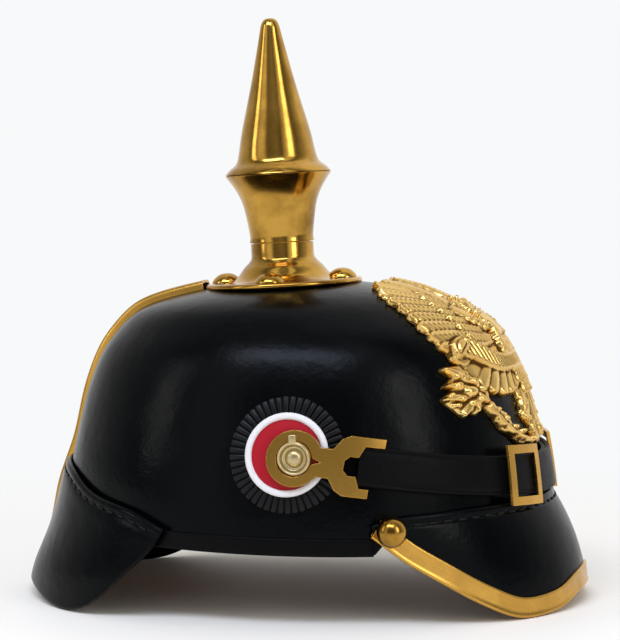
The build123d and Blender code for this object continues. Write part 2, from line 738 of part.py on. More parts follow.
# Fork lugs of the chin strap
strap_top = strap_clear + strap_leather
lug_low = strap_top + lug_gap
lug_top = lug_low + lug_brass
slot_open = fork_half - prong
with BuildPart() as strap_lug_right:
    with BuildSketch(strap_side):
        Circle(lug_radius)
        with BuildLine():
            Polyline((0, -lug_neck), (lug_waist, -lug_neck), (fork_root, -fork_half + prong / 2),
                     (fork_shoulder, -fork_half), (fork_length - prong, -fork_half),
                     (fork_length - prong, fork_half), (fork_shoulder, fork_half),
                     (fork_root, fork_half - prong / 2), (lug_waist, lug_neck), (0, lug_neck), close=True)
        make_face()
        with Locations((fork_length - prong, (fork_half + slot_open) / 2)):
            Rectangle(2 * prong, prong)
        with BuildLine():
            Polyline((slot_start, -slot_half / 2), (slot_start + slot_half / 2, -slot_half),
                     (slot_mouth, -slot_half), (slot_mouth + slot_half / 2, -slot_open),
                     (2 * fork_length, -slot_open), (2 * fork_length, slot_open),
                     (slot_mouth + slot_half / 2, slot_open), (slot_mouth, slot_half),
                     (slot_start + slot_half / 2, slot_half), (slot_start, slot_half / 2), close=True)
        make_face(mode=Mode.SUBTRACT)
        Circle(knob_radius + air_gap, mode=Mode.SUBTRACT)
        with BuildLine():
            Polyline((0, -notch_half * 2), (notch_reach, 0), (0, notch_half * 2), close=True)
        make_face(mode=Mode.SUBTRACT)
    extrude(amount=wide)
    add(grown(lug_top), mode=Mode.INTERSECT)
    add(grown(lug_low), mode=Mode.SUBTRACT)
strap_lug_right.part.label = "strap_lug_right"
export_step(strap_lug_right.part, "parts/strap_lug_right.step")
with BuildPart() as strap_lug_left:
    mirror(strap_lug_right.part, about=middle)
strap_lug_left.part.label = "strap_lug_left"
export_step(strap_lug_left.part, "parts/strap_lug_left.step")

# Chin strap: the right leather runs below, the left one steps over it at the front
strap_reach = 2 * skull_front
pad_top = lug_low + lug_brass * 2 / 3
overlap_step = buckle_y + buckle_width / 4


# A length of strap between two levels and between two planes across the helmet
def strap_run(low, high, right_y, left_y):
    with BuildPart() as run:
        with BuildSketch(strap_side.offset(-left_y)):
            with Locations(((slot_mouth + strap_reach) / 2, 0)):
                Rectangle(strap_reach - slot_mouth, strap_width)
        extrude(amount=left_y - right_y)
        add(grown(high), mode=Mode.INTERSECT)
        add(grown(low), mode=Mode.SUBTRACT)
    return run.part


# The end of a strap that fills the mouth of its lug, on the right side
def strap_end():
    with BuildPart() as pad:
        with BuildSketch(strap_side):
            with Locations(((slot_mouth + slot_half + fork_length) / 2, 0)):
                Rectangle(fork_length - slot_mouth, 2 * (slot_open - air_gap))
        extrude(amount=wide)
        add(grown(pad_top), mode=Mode.INTERSECT)
        add(grown(strap_clear), mode=Mode.SUBTRACT)
    return pad.part


over_low = strap_top + lug_gap
over_top = over_low + strap_leather
with BuildPart() as chin_strap_right:
    add(strap_run(strap_clear, strap_top, -wide, overlap_step - air_gap))
    add(strap_end())
chin_strap_right.part.label = "chin_strap_right"
export_step(chin_strap_right.part, "parts/chin_strap_right.step")
with BuildPart() as chin_strap_left:
    add(strap_run(strap_clear, strap_top, overlap_step, wide))
    add(strap_run(strap_clear, over_top, overlap_step, overlap_step + strap_step))
    add(strap_run(over_low, over_top, -overlap_step, overlap_step + strap_step))
    add(mirror(strap_end(), about=middle))
chin_strap_left.part.label = "chin_strap_left"
export_step(chin_strap_left.part, "parts/chin_strap_left.step")

# Sliding buckles over the straps
buckle_low = over_top + air_gap + fit_gap
buckle_z = post_z - strap_slope * (front_x(buckle_y, strap_mid_z) - post_x) - buckle_drop
buckle_centre, buckle_length, buckle_span = skull_at(buckle_z, over_top)
buckle_x = buckle_centre + buckle_length * sqrt(1 - (buckle_y / buckle_span) ** 2)
normal_x = (buckle_x - buckle_centre) / buckle_length ** 2
normal_y = -buckle_y / buckle_span ** 2
strap_up = aim(sin(strap_tilt), 0, cos(strap_tilt))
buckle_out = aim(normal_x, normal_y, 0).normalized()
buckle_face = Plane(origin=helm.from_local_coords((buckle_x, -buckle_y, buckle_z)) - buckle_out * buckle_height,
                    x_dir=strap_up.cross(buckle_out), z_dir=buckle_out)
with BuildPart() as buckle_right:
    with BuildSketch(buckle_face):
        Rectangle(buckle_width, buckle_height)
        Rectangle(buckle_width - 2 * buckle_bar, strap_width + buckle_bar / 2, mode=Mode.SUBTRACT)
    extrude(amount=wide)
    add(grown(buckle_low + buckle_brass), mode=Mode.INTERSECT)
    add(grown(buckle_low), mode=Mode.SUBTRACT)
buckle_right.part.label = "buckle_right"
export_step(buckle_right.part, "parts/buckle_right.step")
with BuildPart() as buckle_left:
    mirror(buckle_right.part, about=middle)
buckle_left.part.label = "buckle_left"
export_step(buckle_left.part, "parts/buckle_left.step")

# Places of the leather liner
liner_out = -leather - skin_gap
fold_centre, fold_length, fold_width = skull_at(liner_fold, liner_out)


# A liner form lofted from the fold up to the mouth, grown by a distance
def tongue_form(grow):
    with BuildPart() as form:
        for z, centre, length, width in ((liner_fold - liner_leather, fold_centre, fold_length, fold_width),
                                         (liner_top, 0, liner_mouth, liner_mouth * fold_width / fold_length)):
            with BuildSketch(helm.offset(z)):
                with Locations((centre, 0)):
                    Ellipse(length + grow, width + grow)
        loft()
    return form.part


# Slots between the liner's tongues
def tongue_slots():
    with BuildPart() as slots:
        for i in range(tongue_count // 2):
            turn = (2 * i + 1) * pi / tongue_count
            turned_plane = Plane(origin=helm.from_local_coords((0, 0, liner_fold + overrun)), z_dir=helm.z_dir,
                                 x_dir=aim(cos(turn), sin(turn), 0))
            with BuildSketch(turned_plane):
                Rectangle(2 * wide, tongue_gap)
            extrude(amount=wide)
    return slots.part


# Leather liner: a band inside the skull with tongues that lean in to the crown
with BuildPart() as liner:
    with BuildSketch(helm.offset(liner_low)):
        Circle(wide)
    extrude(amount=liner_fold - liner_low)
    add(grown(liner_out), mode=Mode.INTERSECT)
    add(grown(liner_out - liner_leather), mode=Mode.SUBTRACT)
    add(tongue_form(0.0) - tongue_form(-liner_leather) - tongue_slots())
liner.part.label = "liner"
export_step(liner.part, "parts/liner.step")

# Eagle plate: a sheet with raised feathers, banner, shoulders, claws, head and crown, and its two posts
plate_turn = radians(plate_tilt)
plate_face = Plane(origin=helm.origin, x_dir=(0, 1, 0), z_dir=aim(cos(plate_turn), 0, sin(plate_turn)))


# Outlines drawn on both sides, with those that already run across the middle
def outlines(doubled, across):
    return [[(sign * y, z) for y, z in line] for line in doubled for sign in (1, -1)] + list(across)


# Outline of one feather, a slim leaf from its root to a blunt tip
def feather(root, tip, width):
    length = sqrt((tip[0] - root[0]) ** 2 + (tip[1] - root[1]) ** 2)
    ay, az = (tip[0] - root[0]) / length * width / 2, (tip[1] - root[1]) / length * width / 2
    return ((root[0] - az / 2, root[1] + ay / 2), (root[0] + az / 2, root[1] - ay / 2),
            (tip[0] - ay + az * tip_share, tip[1] - az - ay * tip_share), tip,
            (tip[0] - ay - az * tip_share, tip[1] - az + ay * tip_share))


leaves = [feather(root, tip, feather_width) for root, tip in zip(feather_roots, feather_tips)]
leaves += [feather(root, tip, fan_width) for root, tip in zip(fan_roots, fan_tips)]
with BuildPart() as lowered:
    with BuildSketch(plate_face):
        Circle(wide)
        for points in outlines((shoulder_line, claw_boss, *leaves),
                               (both_sides(banner_line), both_sides(head_boss))):
            with BuildLine():
                Polyline(*points, close=True)
            make_face(mode=Mode.SUBTRACT)
    extrude(amount=wide)
    add(grown(plate_skin), mode=Mode.SUBTRACT)
with BuildPart() as helmet_plate:
    with BuildSketch(plate_face):
        for points in outlines((wing_line, claw_line, branch_line),
                               (both_sides(fan_line), both_sides(tail_line), head_line, crown_line)):
            with BuildLine():
                Polyline(*points, close=True)
            make_face()
    extrude(amount=wide)
    add(grown(plate_boss), mode=Mode.INTERSECT)
    add(grown(plate_gap), mode=Mode.SUBTRACT)
    add(lowered.part, mode=Mode.SUBTRACT)
    add(rod_pair(plate_x, plate_post_place[1], shank_radius, ball_nut_start - nut_height, plate_skin / 2))
helmet_plate.part.label = "helmet_plate"
export_step(helmet_plate.part, "parts/helmet_plate.step")
with BuildPart() as plate_nuts:
    add(nut_pair(plate_x, plate_post_place[1], -leather))
    add(grown(-leather - skin_gap), mode=Mode.INTERSECT)
plate_nuts.part.label = "plate_nuts"
export_step(plate_nuts.part, "parts/plate_nuts.step")
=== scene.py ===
from math import atan2, cos, hypot, pi, radians, sin, sqrt, tau
import bmesh
import bpy
import numpy as np
from mathutils import Matrix, Vector


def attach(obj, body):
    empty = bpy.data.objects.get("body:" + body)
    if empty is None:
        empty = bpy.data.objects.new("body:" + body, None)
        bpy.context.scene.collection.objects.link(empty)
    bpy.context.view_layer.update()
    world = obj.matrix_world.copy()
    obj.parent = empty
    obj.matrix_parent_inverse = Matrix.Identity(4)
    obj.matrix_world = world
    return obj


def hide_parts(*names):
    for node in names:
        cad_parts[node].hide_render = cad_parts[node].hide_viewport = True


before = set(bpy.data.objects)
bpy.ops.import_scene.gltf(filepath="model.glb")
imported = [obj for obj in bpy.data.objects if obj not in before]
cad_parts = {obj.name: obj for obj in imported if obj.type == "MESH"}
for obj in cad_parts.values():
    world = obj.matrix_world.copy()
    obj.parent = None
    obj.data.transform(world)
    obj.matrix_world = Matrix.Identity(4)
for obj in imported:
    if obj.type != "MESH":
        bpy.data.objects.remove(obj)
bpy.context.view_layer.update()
mm = 0.001
sides = ((-1, "right"), (1, "left"))

# The helmet's own frame: X forward, Y to the wearer's left, Z along the spike, in millimetres.
# It leans back on the table by the slope between its two lowest points.
stance = {"guardLow": (-93.5, 10.3), "visorLow": (116.5, 0.75), "forward": 0.7}
lean = atan2(stance["guardLow"][1] - stance["visorLow"][1],
             stance["visorLow"][0] - stance["guardLow"][0])
rise = -(stance["visorLow"][0] * sin(lean) + stance["visorLow"][1] * cos(lean))


def toWorld(points):
    p = np.asarray(points, float)
    x = stance["forward"] + p[..., 0] * cos(lean) - p[..., 2] * sin(lean)
    z = rise + p[..., 0] * sin(lean) + p[..., 2] * cos(lean)
    return np.stack([x, p[..., 1], z], -1) * mm


def turnWorld(v):
    # The same for directions.
    v = np.asarray(v, float)
    return np.stack([v[..., 0] * cos(lean) - v[..., 2] * sin(lean), v[..., 1],
                     v[..., 0] * sin(lean) + v[..., 2] * cos(lean)], -1)


def unit(v):
    return v / np.maximum(np.linalg.norm(v, axis=-1, keepdims=True), 1e-9)


def cubicFit(t, values):
    # Natural cubic through rows of values at t, as a function of new t.
    t, v = np.asarray(t, float), np.asarray(values, float)
    n, h = len(t), np.diff(t)
    a = np.zeros((n, n))
    r = np.zeros((n,) + v.shape[1:])
    a[0, 0] = a[-1, -1] = 1
    for i in range(1, n - 1):
        a[i, i - 1:i + 2] = h[i - 1], 2 * (h[i - 1] + h[i]), h[i]
        r[i] = 6 * ((v[i + 1] - v[i]) / h[i] - (v[i] - v[i - 1]) / h[i - 1])
    m = np.linalg.solve(a, r)

    def at(q):
        q = np.clip(np.asarray(q, float), t[0], t[-1])
        k = np.clip(np.searchsorted(t, q) - 1, 0, n - 2)
        u, w, hk = (part[..., None] for part in (t[k + 1] - q, q - t[k], h[k]))
        return (m[k] * u ** 3 + m[k + 1] * w ** 3) / (6 * hk) + (v[k] / hk - m[k] * hk / 6) * u + (
            v[k + 1] / hk - m[k + 1] * hk / 6) * w
    return at


def lengths(points):
    # How far along a line each of its points lies.
    return np.concatenate([[0], np.cumsum(np.linalg.norm(np.diff(points, axis=0), axis=1))])


def readAt(spots, steps, points):
    return np.stack([np.interp(spots, steps, points[:, k]) for k in range(3)], -1)


def smoothLine(points, count=400):
    # Dense points of a smooth line through the given ones.
    p = np.asarray(points, float)
    t = lengths(p)
    return cubicFit(t, p)(np.linspace(0, t[-1], count))


def evenly(points, step):
    # The same line with its points an even step apart.
    d = lengths(points)
    return readAt(np.linspace(0, d[-1], max(2, int(round(d[-1] / step)) + 1)), d, points)


formSteps = 1500
slopeStep = 0.4


# A form whose level sections are ellipses: rows of height, centre, half length, half width
class Form:
    def __init__(self, rows):
        rows = np.asarray(sorted(map(tuple, rows)), float)
        reach = np.concatenate([[0], np.cumsum(np.hypot(np.diff(rows[:, 0]), np.diff(rows[:, 2])))])
        self.dense = cubicFit(reach, rows)(np.linspace(0, reach[-1], formSteps))
        self.z = np.maximum.accumulate(self.dense[:, 0] + np.arange(formSteps) * 1e-7)

    def level(self, z):
        return [np.interp(z, self.z, self.dense[:, k]) for k in (1, 2, 3)]

    def at(self, theta, z, grow=0.0):
        # Points at an angle and a height, moved out of the form by grow.
        c, l, w = self.level(z)
        p = np.stack([c + l * np.cos(theta), w * np.sin(theta), z + 0 * theta], -1)
        return p + self.normal(theta, z) * np.asarray(grow)[..., None]

    def normal(self, theta, z):
        c, l, w = self.level(z)
        low, high = self.level(z - slopeStep), self.level(z + slopeStep)
        zLow, zHigh = np.maximum(z - slopeStep, self.z[0]), np.minimum(z + slopeStep, self.z[-1])
        dt = np.stack([-l * np.sin(theta), w * np.cos(theta), 0 * theta + 0 * z], -1)
        dz = np.stack([high[0] - low[0] + (high[1] - low[1]) * np.cos(theta),
                       (high[2] - low[2]) * np.sin(theta), zHigh - zLow + 0 * theta], -1)
        return unit(np.cross(dt, dz))

    def angles(self, p):
        c, l, w = self.level(p[..., 2])
        return np.arctan2(p[..., 1] / w, (p[..., 0] - c) / l), p[..., 2]

    def drop(self, p, grow=0.0):
        # The form's points at the angles and heights of p.
        return self.at(*self.angles(p), grow)


def edgeHeight(line, smooth=True):
    p = smoothLine(line) if smooth else np.asarray(line, float)
    p = p[np.argsort(p[:, 0])]
    return lambda x: np.interp(x, p[:, 0], p[:, 1])


def edgeOn(form, theta, height, start):
    # Height on a form, at each angle, where its side view meets a line.
    z = np.full_like(theta, start)
    for _ in range(14):
        c, l, w = form.level(z)
        z = 0.5 * z + 0.5 * height(c + l * np.cos(theta))
    return z


def angleAt(form, x, z):
    c, l, w = form.level(np.asarray(z, float))
    return float(np.arccos(np.clip((x - c) / l, -1, 1)))


def quarterRound(share):
    # Height of a rounded edge, from 0 at its rim to 1 where the curve ends.
    share = np.clip(share, 0, 1)
    return np.sqrt(share * (2 - share))


# Solids as points and faces
def gridFaces(rows, cols, closed):
    faces = []
    for i in range(rows if closed else rows - 1):
        k = (i + 1) % rows * cols
        for j in range(cols):
            n = (j + 1) % cols
            faces.append((i * cols + j, i * cols + n, k + n, k + j))
    return faces


def tube(rings):
    # A closed solid from rings of equal length: a tube that ends in two caps.
    rows, cols = rings.shape[:2]
    caps = [tuple(range(cols))[::-1], tuple((rows - 1) * cols + k for k in range(cols))]
    return rings.reshape(-1, 3), gridFaces(rows, cols, False) + caps


def hoop(rings):
    # A closed solid whose last ring meets its first.
    return rings.reshape(-1, 3), gridFaces(*rings.shape[:2], True)


def lathe(profile, segments):
    # A profile of (radius, height) turned round Z: its ends are capped on the axis, or they meet.
    prof = np.asarray(profile, float)
    a = np.linspace(0, tau, segments, endpoint=False)
    rings = np.stack([prof[:, :1] * np.cos(a), prof[:, :1] * np.sin(a), prof[:, 1:] + 0 * a], -1)
    return (tube if prof[0, 0] < 0.1 else hoop)(rings)


def placed(solid, origin, up):
    # A solid drawn round Z, moved to an origin with Z along up.
    verts, faces = solid
    up = unit(np.asarray(up, float))
    side = unit(np.cross(up, (0.0, 0.0, 1.0) if abs(up[2]) < 0.9 else (0.0, 1.0, 0.0)))
    fore = np.cross(up, side)
    at = np.asarray(origin) + verts[:, :1] * side + verts[:, 1:2] * fore + verts[:, 2:] * up
    return at, faces


def merged(parts):
    verts, faces, base = [], [], 0
    for v, f in parts:
        verts.append(np.asarray(v, float))
        faces += [tuple(base + k for k in q) for q in f]
        base += len(v)
    return np.concatenate(verts), faces


def softBlock(size, radius, steps):
    # A box with rounded edges, its middle at the origin.
    bm = bmesh.new()
    bmesh.ops.create_cube(bm, size=1.0)
    bmesh.ops.scale(bm, vec=size, verts=bm.verts)
    bmesh.ops.bevel(bm, geom=bm.edges[:], offset=radius, segments=steps, profile=0.5,
                    affect="EDGES")
    verts = np.array([v.co[:] for v in bm.verts])
    faces = [tuple(v.index for v in f.verts) for f in bm.faces]
    bm.free()
    return verts, faces


def sweep(form, line, crossSection):
    # A strip on a form: a closed cross-section of (across, above) swept along a line.
    normal = form.normal(*form.angles(line))
    across = unit(np.cross(normal, unit(np.gradient(line, axis=0))))
    across = np.where(across[:, 2:] < 0, -across, across)
    section = np.asarray(crossSection, float)
    raw = line[:, None] + across[:, None] * section[None, :, :1]
    return tube(form.drop(raw, section[:, 1]))


# Blender objects
def addObject(name, data):
    obj = bpy.data.objects.new(name, data)
    bpy.context.scene.collection.objects.link(obj)
    return obj


def shadeSmooth(mesh, sharp):
    for q in mesh.polygons:
        q.use_smooth = True
    if sharp:
        mesh.set_sharp_from_angle(angle=radians(sharp))


def outward(mesh):
    # Turns all faces of a closed piece outwards.
    bm = bmesh.new()
    bm.from_mesh(mesh)
    bmesh.ops.recalc_face_normals(bm, faces=bm.faces)
    if bm.calc_volume(signed=True) < 0:
        bmesh.ops.reverse_faces(bm, faces=bm.faces)
    bm.to_mesh(mesh)
    bm.free()


def makeMesh(name, verts, faces):
    mesh = bpy.data.meshes.new(name)
    mesh.from_pydata(np.asarray(verts, float).tolist(), [], [tuple(int(i) for i in f) for f in faces])
    mesh.validate()
    return addObject(name, mesh)


def settle(obj, body, nodes=()):
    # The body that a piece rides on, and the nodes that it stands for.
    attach(obj, body)
    if nodes:
        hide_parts(*nodes)


def addPiece(name, solid, material, body, nodes, sharp=None):
    verts, faces = solid
    obj = makeMesh(name, toWorld(verts), faces)
    shadeSmooth(obj.data, sharp)
    outward(obj.data)
    obj.data.materials.append(material)
    settle(obj, body, nodes)
    return obj


def addNode(tree, kind, inputs=None, stops=None, **settings):
    # Adds a node with its settings, its colour stops if it has any, and its values or links.
    node = tree.nodes.new(kind)
    for key, value in settings.items():
        setattr(node, key, value)
    for key, value in (inputs or {}).items():
        if isinstance(value, bpy.types.NodeSocket):
            tree.links.new(value, node.inputs[key])
        else:
            node.inputs[key].default_value = value
    if stops:
        band = node.color_ramp.elements
        band[0].position, band[0].color = stops[0]
        band[1].position, band[1].color = stops[-1]
        for place, colour in stops[1:-1]:
            band.new(place).color = colour
    return node


def repeatTree():
    # A copy of a small piece on every point, turned by the point's two directions, on a base.
    tree = bpy.data.node_groups.new("repeatOnPoints", "GeometryNodeTree")
    tree.interface.new_socket("Geometry", in_out="OUTPUT", socket_type="NodeSocketGeometry")
    for name, kind in (("Points", "Geometry"), ("Piece", "Object"), ("Base", "Object"),
                       ("Material", "Material"), ("Variation", "Float"), ("Seed", "Int")):
        tree.interface.new_socket(name, in_out="INPUT", socket_type="NodeSocket" + kind)
    given = addNode(tree, "NodeGroupInput").outputs
    up, fore = (addNode(tree, "GeometryNodeInputNamedAttribute", {"Name": name},
                        data_type="FLOAT_VECTOR").outputs["Attribute"] for name in ("up", "fore"))
    turned = addNode(tree, "FunctionNodeAxesToRotation", {"Primary Axis": up, "Secondary Axis": fore},
                     primary_axis="Z", secondary_axis="X").outputs[0]
    piece, base = (addNode(tree, "GeometryNodeObjectInfo", {"Object": given[name]},
                           transform_space="ORIGINAL").outputs["Geometry"]
                   for name in ("Piece", "Base"))
    low, high = (addNode(tree, "ShaderNodeMath", {0: 1.0, 1: given["Variation"]},
                         operation=kind).outputs[0] for kind in ("SUBTRACT", "ADD"))
    size = addNode(tree, "FunctionNodeRandomValue", {"Seed": given["Seed"], 2: low, 3: high},
                   data_type="FLOAT").outputs[1]
    copies = addNode(tree, "GeometryNodeInstanceOnPoints",
                     {"Points": given["Points"], "Instance": piece, "Rotation": turned,
                      "Scale": size}).outputs[0]
    both = addNode(tree, "GeometryNodeJoinGeometry", {0: copies})
    tree.links.new(base, both.inputs[0])
    real = addNode(tree, "GeometryNodeRealizeInstances", {"Geometry": both.outputs[0]}).outputs[0]
    painted = addNode(tree, "GeometryNodeSetMaterial",
                      {"Geometry": real, "Material": given["Material"]}).outputs[0]
    addNode(tree, "NodeGroupOutput", {"Geometry": painted})
    return tree


repeats = repeatTree()
repeatSharp = 50


def repeated(name, at, up, fore, piece, base, material, variation, seed):
    # The plain mesh that the tree makes; up and fore are directions in the helmet's frame.
    holder = makeMesh(name + "Points", toWorld(at), [])
    for label, values in (("up", up), ("fore", fore)):
        attribute = holder.data.attributes.new(label, "FLOAT_VECTOR", "POINT")
        attribute.data.foreach_set("vector", turnWorld(values).ravel())
    small = makeMesh(name + "Piece", piece[0] * mm, piece[1])
    under = makeMesh(name + "Base", toWorld(base[0]), base[1]) if base else None
    grow = holder.modifiers.new("repeat", "NODES")
    grow.node_group = repeats
    keys = {i.name: i.identifier for i in repeats.interface.items_tree if i.in_out == "INPUT"}
    for label, value in (("Piece", small), ("Base", under), ("Material", material),
                         ("Variation", variation), ("Seed", seed)):
        grow[keys[label]] = value
    holder.update_tag()
    graph = bpy.context.evaluated_depsgraph_get()
    mesh = bpy.data.meshes.new_from_object(holder.evaluated_get(graph), depsgraph=graph)
    obj = addObject(name, mesh)
    for extra in (holder, small, under):
        if extra:
            data = extra.data
            bpy.data.objects.remove(extra)
            bpy.data.meshes.remove(data)
    outward(mesh)
    shadeSmooth(mesh, repeatSharp)
    return obj


# Materials
def linear(code):
    rgb = [int(code[i:i + 2], 16) / 255 for i in (1, 3, 5)]
    return tuple(c / 12.92 if c <= 0.04045 else ((c + 0.055) / 1.055) ** 2.4 for c in rgb) + (1.0,)


def grey(v):
    return (v, v, v, 1.0)


def newMaterial(name, **values):
    mat = bpy.data.materials.new(name)
    mat.use_nodes = True
    shader = mat.node_tree.nodes["Principled BSDF"]
    for key, value in values.items():
        shader.inputs[key.replace("_", " ")].default_value = value
    return mat, mat.node_tree, shader


# Sizes of patterns in metres. The leather's grain is drawn coarser than it is, so that it shows.
pattern = {"pebble": 0.0016, "leatherWave": 0.02, "leatherWear": 0.03, "brassPatch": 0.02,
           "brassDent": 0.012}


def leatherMaterial(name, colour, roughness, grain, wave):
    # A thin gloss over a fine pebble and slow waves, so that highlights break up softly.
    mat, tree, shader = newMaterial(name, Base_Color=linear(colour), Specular_IOR_Level=0.07)
    coords = addNode(tree, "ShaderNodeTexCoord").outputs["Object"]
    pebble = addNode(tree, "ShaderNodeTexVoronoi",
                     {"Vector": coords, "Scale": 1 / pattern["pebble"]}).outputs["Distance"]
    slow = addNode(tree, "ShaderNodeTexNoise", {"Vector": coords, "Scale": 1 / pattern["leatherWave"],
                                                "Detail": 6.0, "Roughness": 0.58}).outputs["Fac"]
    fine = addNode(tree, "ShaderNodeBump", {"Height": pebble, "Strength": grain,
                                            "Distance": 0.0003}).outputs["Normal"]
    bump = addNode(tree, "ShaderNodeBump", {"Height": slow, "Strength": wave, "Distance": 0.0022,
                                            "Normal": fine}).outputs["Normal"]
    tree.links.new(bump, shader.inputs["Normal"])
    handled = addNode(tree, "ShaderNodeTexNoise",
                      {"Vector": coords, "Scale": 1 / pattern["leatherWear"], "Detail": 5.0,
                       "Roughness": 0.6}).outputs["Fac"]
    worn = addNode(tree, "ShaderNodeValToRGB", {"Fac": handled},
                   stops=[(0.4, grey(roughness)), (0.75, grey(roughness + 0.12))])
    tree.links.new(worn.outputs["Color"], shader.inputs["Roughness"])
    return mat


def brassMaterial(name, bright, darkWearAndReflection, roughness, wearAndDarkReflection, wave, bevel=0.0):
    # Warm yellow with browner patches, partly worn polish and partly painted dark reflection in the
    # colour, and slow dents in the reflections.
    mat, tree, shader = newMaterial(name, Metallic=1.0)
    coords = addNode(tree, "ShaderNodeTexCoord").outputs["Object"]
    patch = addNode(tree, "ShaderNodeTexNoise", {"Vector": coords, "Scale": 1 / pattern["brassPatch"],
                                                 "Detail": 5.0, "Roughness": 0.6}).outputs["Fac"]
    wearAndReflectionMask = addNode(tree, "ShaderNodeValToRGB", {"Fac": patch},
                   stops=[(0.38, grey(0.0)), (0.72, grey(1.0))]).outputs["Color"]
    share = addNode(tree, "ShaderNodeMath", {0: wearAndReflectionMask, 1: wearAndDarkReflection}, operation="MULTIPLY").outputs[0]
    # The brown mixed in here is worn metal and painted dark reflection.
    metal = addNode(tree, "ShaderNodeMix", {0: share, 6: linear(bright), 7: linear(darkWearAndReflection)},
                    data_type="RGBA").outputs[2]
    tree.links.new(metal, shader.inputs["Base Color"])
    rough = addNode(tree, "ShaderNodeMapRange",
                    {"Value": patch, "From Min": 0.3, "From Max": 0.8, "To Min": roughness,
                     "To Max": roughness + 0.13}).outputs[0]
    tree.links.new(rough, shader.inputs["Roughness"])
    slow = addNode(tree, "ShaderNodeTexNoise", {"Vector": coords, "Scale": 1 / pattern["brassDent"],
                                                "Detail": 2.0, "Roughness": 0.5}).outputs["Fac"]
    bump = addNode(tree, "ShaderNodeBump", {"Height": slow, "Strength": wave, "Distance": 0.0008})
    if bevel:
        edge = addNode(tree, "ShaderNodeBevel", {"Radius": bevel}, samples=4)
        tree.links.new(edge.outputs["Normal"], bump.inputs["Normal"])
    tree.links.new(bump.outputs["Normal"], shader.inputs["Normal"])
    return mat


def addPatinaAndHollowShade(mat, patinaAndShadeColour, low, high):
    # Darker and duller metal in the hollows of a relief, from the depth that its mesh carries: patina
    # together with painted shade in the hollows.
    tree = mat.node_tree
    shader = tree.nodes["Principled BSDF"]
    depth = addNode(tree, "ShaderNodeAttribute", attribute_name="depth").outputs["Fac"]
    # Painted shade and patina: the deeper a point lies, the darker its colour.
    deep = addNode(tree, "ShaderNodeMapRange",
                   {"Value": depth, "From Min": low, "From Max": high, "To Min": 1.0, "To Max": 0.0},
                   interpolation_type="SMOOTHSTEP").outputs[0]
    clean = shader.inputs["Base Color"].links[0].from_socket
    mixed = addNode(tree, "ShaderNodeMix", {0: deep, 6: clean, 7: linear(patinaAndShadeColour)}, data_type="RGBA")
    tree.links.new(mixed.outputs[2], shader.inputs["Base Color"])
    rough = shader.inputs["Roughness"].links[0].from_socket
    more = addNode(tree, "ShaderNodeMath", {0: deep, 1: 0.3}, operation="MULTIPLY").outputs[0]
    total = addNode(tree, "ShaderNodeMath", {0: rough, 1: more}, operation="ADD").outputs[0]
    tree.links.new(total, shader.inputs["Roughness"])


def plainMaterial(name, colour, roughness, metallic=0.0, bevel=0.0):
    # One even colour; painted and threaded pieces keep a faint gloss, so their colour stays deep.
    mat, tree, shader = newMaterial(name, Base_Color=linear(colour), Roughness=roughness,
                                    Metallic=metallic, Specular_IOR_Level=0.5 if metallic else 0.2)
    if bevel:
        edge = addNode(tree, "ShaderNodeBevel", {"Radius": bevel}, samples=4)
        tree.links.new(edge.outputs["Normal"], shader.inputs["Normal"])
    return mat


# Deep black with a wet gloss, a duller black where hands wear it, and the strap's dry black
blackLeather = leatherMaterial("lacqueredLeather", "#030405", 0.19, 0.06, 0.22)
edgeLeather = leatherMaterial("edgeLeather", "#050506", 0.34, 0.15, 0.25)
strapLeather = leatherMaterial("strapLeather", "#060607", 0.38, 0.25, 0.1)
linerLeather = leatherMaterial("linerLeather", "#8a5f38", 0.6, 0.4, 0.2)  # plain tan, no gloss
# Mirror-like turned brass, softer stamped sheet, and pale brass whose lacquer is gone, each with a
# brown second colour that is worn metal and painted dark reflection
brass = brassMaterial("polishedBrass", "#c99b45", "#6e4812", 0.11, 0.8, 0.09)
sheetBrass = brassMaterial("sheetBrass", "#d0a04a", "#91692e", 0.22, 0.45, 0.08, 0.0005)
wornBrass = brassMaterial("wornBrass", "#dccb9c", "#9c8455", 0.27, 0.6, 0.05)
gilt = brassMaterial("gildedBrass", "#edc675", "#cb9a52", 0.22, 0.5, 0.03)  # bright, brown hollows
# Patina and painted shade in the plate's hollows
addPatinaAndHollowShade(gilt, "#62431b", -0.5, 0.02)
threadBlack = plainMaterial("waxedThread", "#080808", 0.6)  # dull threads on the gloss
ribbonBlack = plainMaterial("pleatedRibbon", "#0a0a0c", 0.38)  # a silky sheen on each pleat
steel = plainMaterial("dullSteel", "#8b8984", 0.42, 1.0, 0.0003)  # grey fixings inside
whiteEnamel = plainMaterial("whiteEnamel", "#dcd8d8", 0.45)  # an even satin white
redEnamel = plainMaterial("redEnamel", "#a30d1f", 0.45)  # and a deep satin red
print("materials ready")

# Skull, with its levels as shares of the height and of the reach to the front, rear and sides
skullSize = {"height": 148.7, "front": 115.6, "rear": 107.0, "width": 184.0, "leather": 2.6,
             "vent": 9.0, "around": 260, "rows": 110, "guardLap": 11.0, "visorLap": 8.0,
             "sideRear": (-47.0, 41.0), "sideFront": (53.0, 34.5),
             "levels": (0.17, 0.32, 0.457, 0.551, 0.659, 0.753, 0.834, 0.894, 0.942, 0.975, 1.0),
             "frontShares": (1.0, 0.998, 0.979, 0.958, 0.922, 0.874, 0.803, 0.703, 0.59, 0.465, 0.30),
             "rearShares": (1.0, 0.998, 0.986, 0.955, 0.911, 0.864, 0.805, 0.735, 0.655, 0.53, 0.35),
             "widthShares": (1.0, 0.998, 0.98, 0.957, 0.917, 0.869, 0.803, 0.718, 0.625, 0.5, 0.34)}
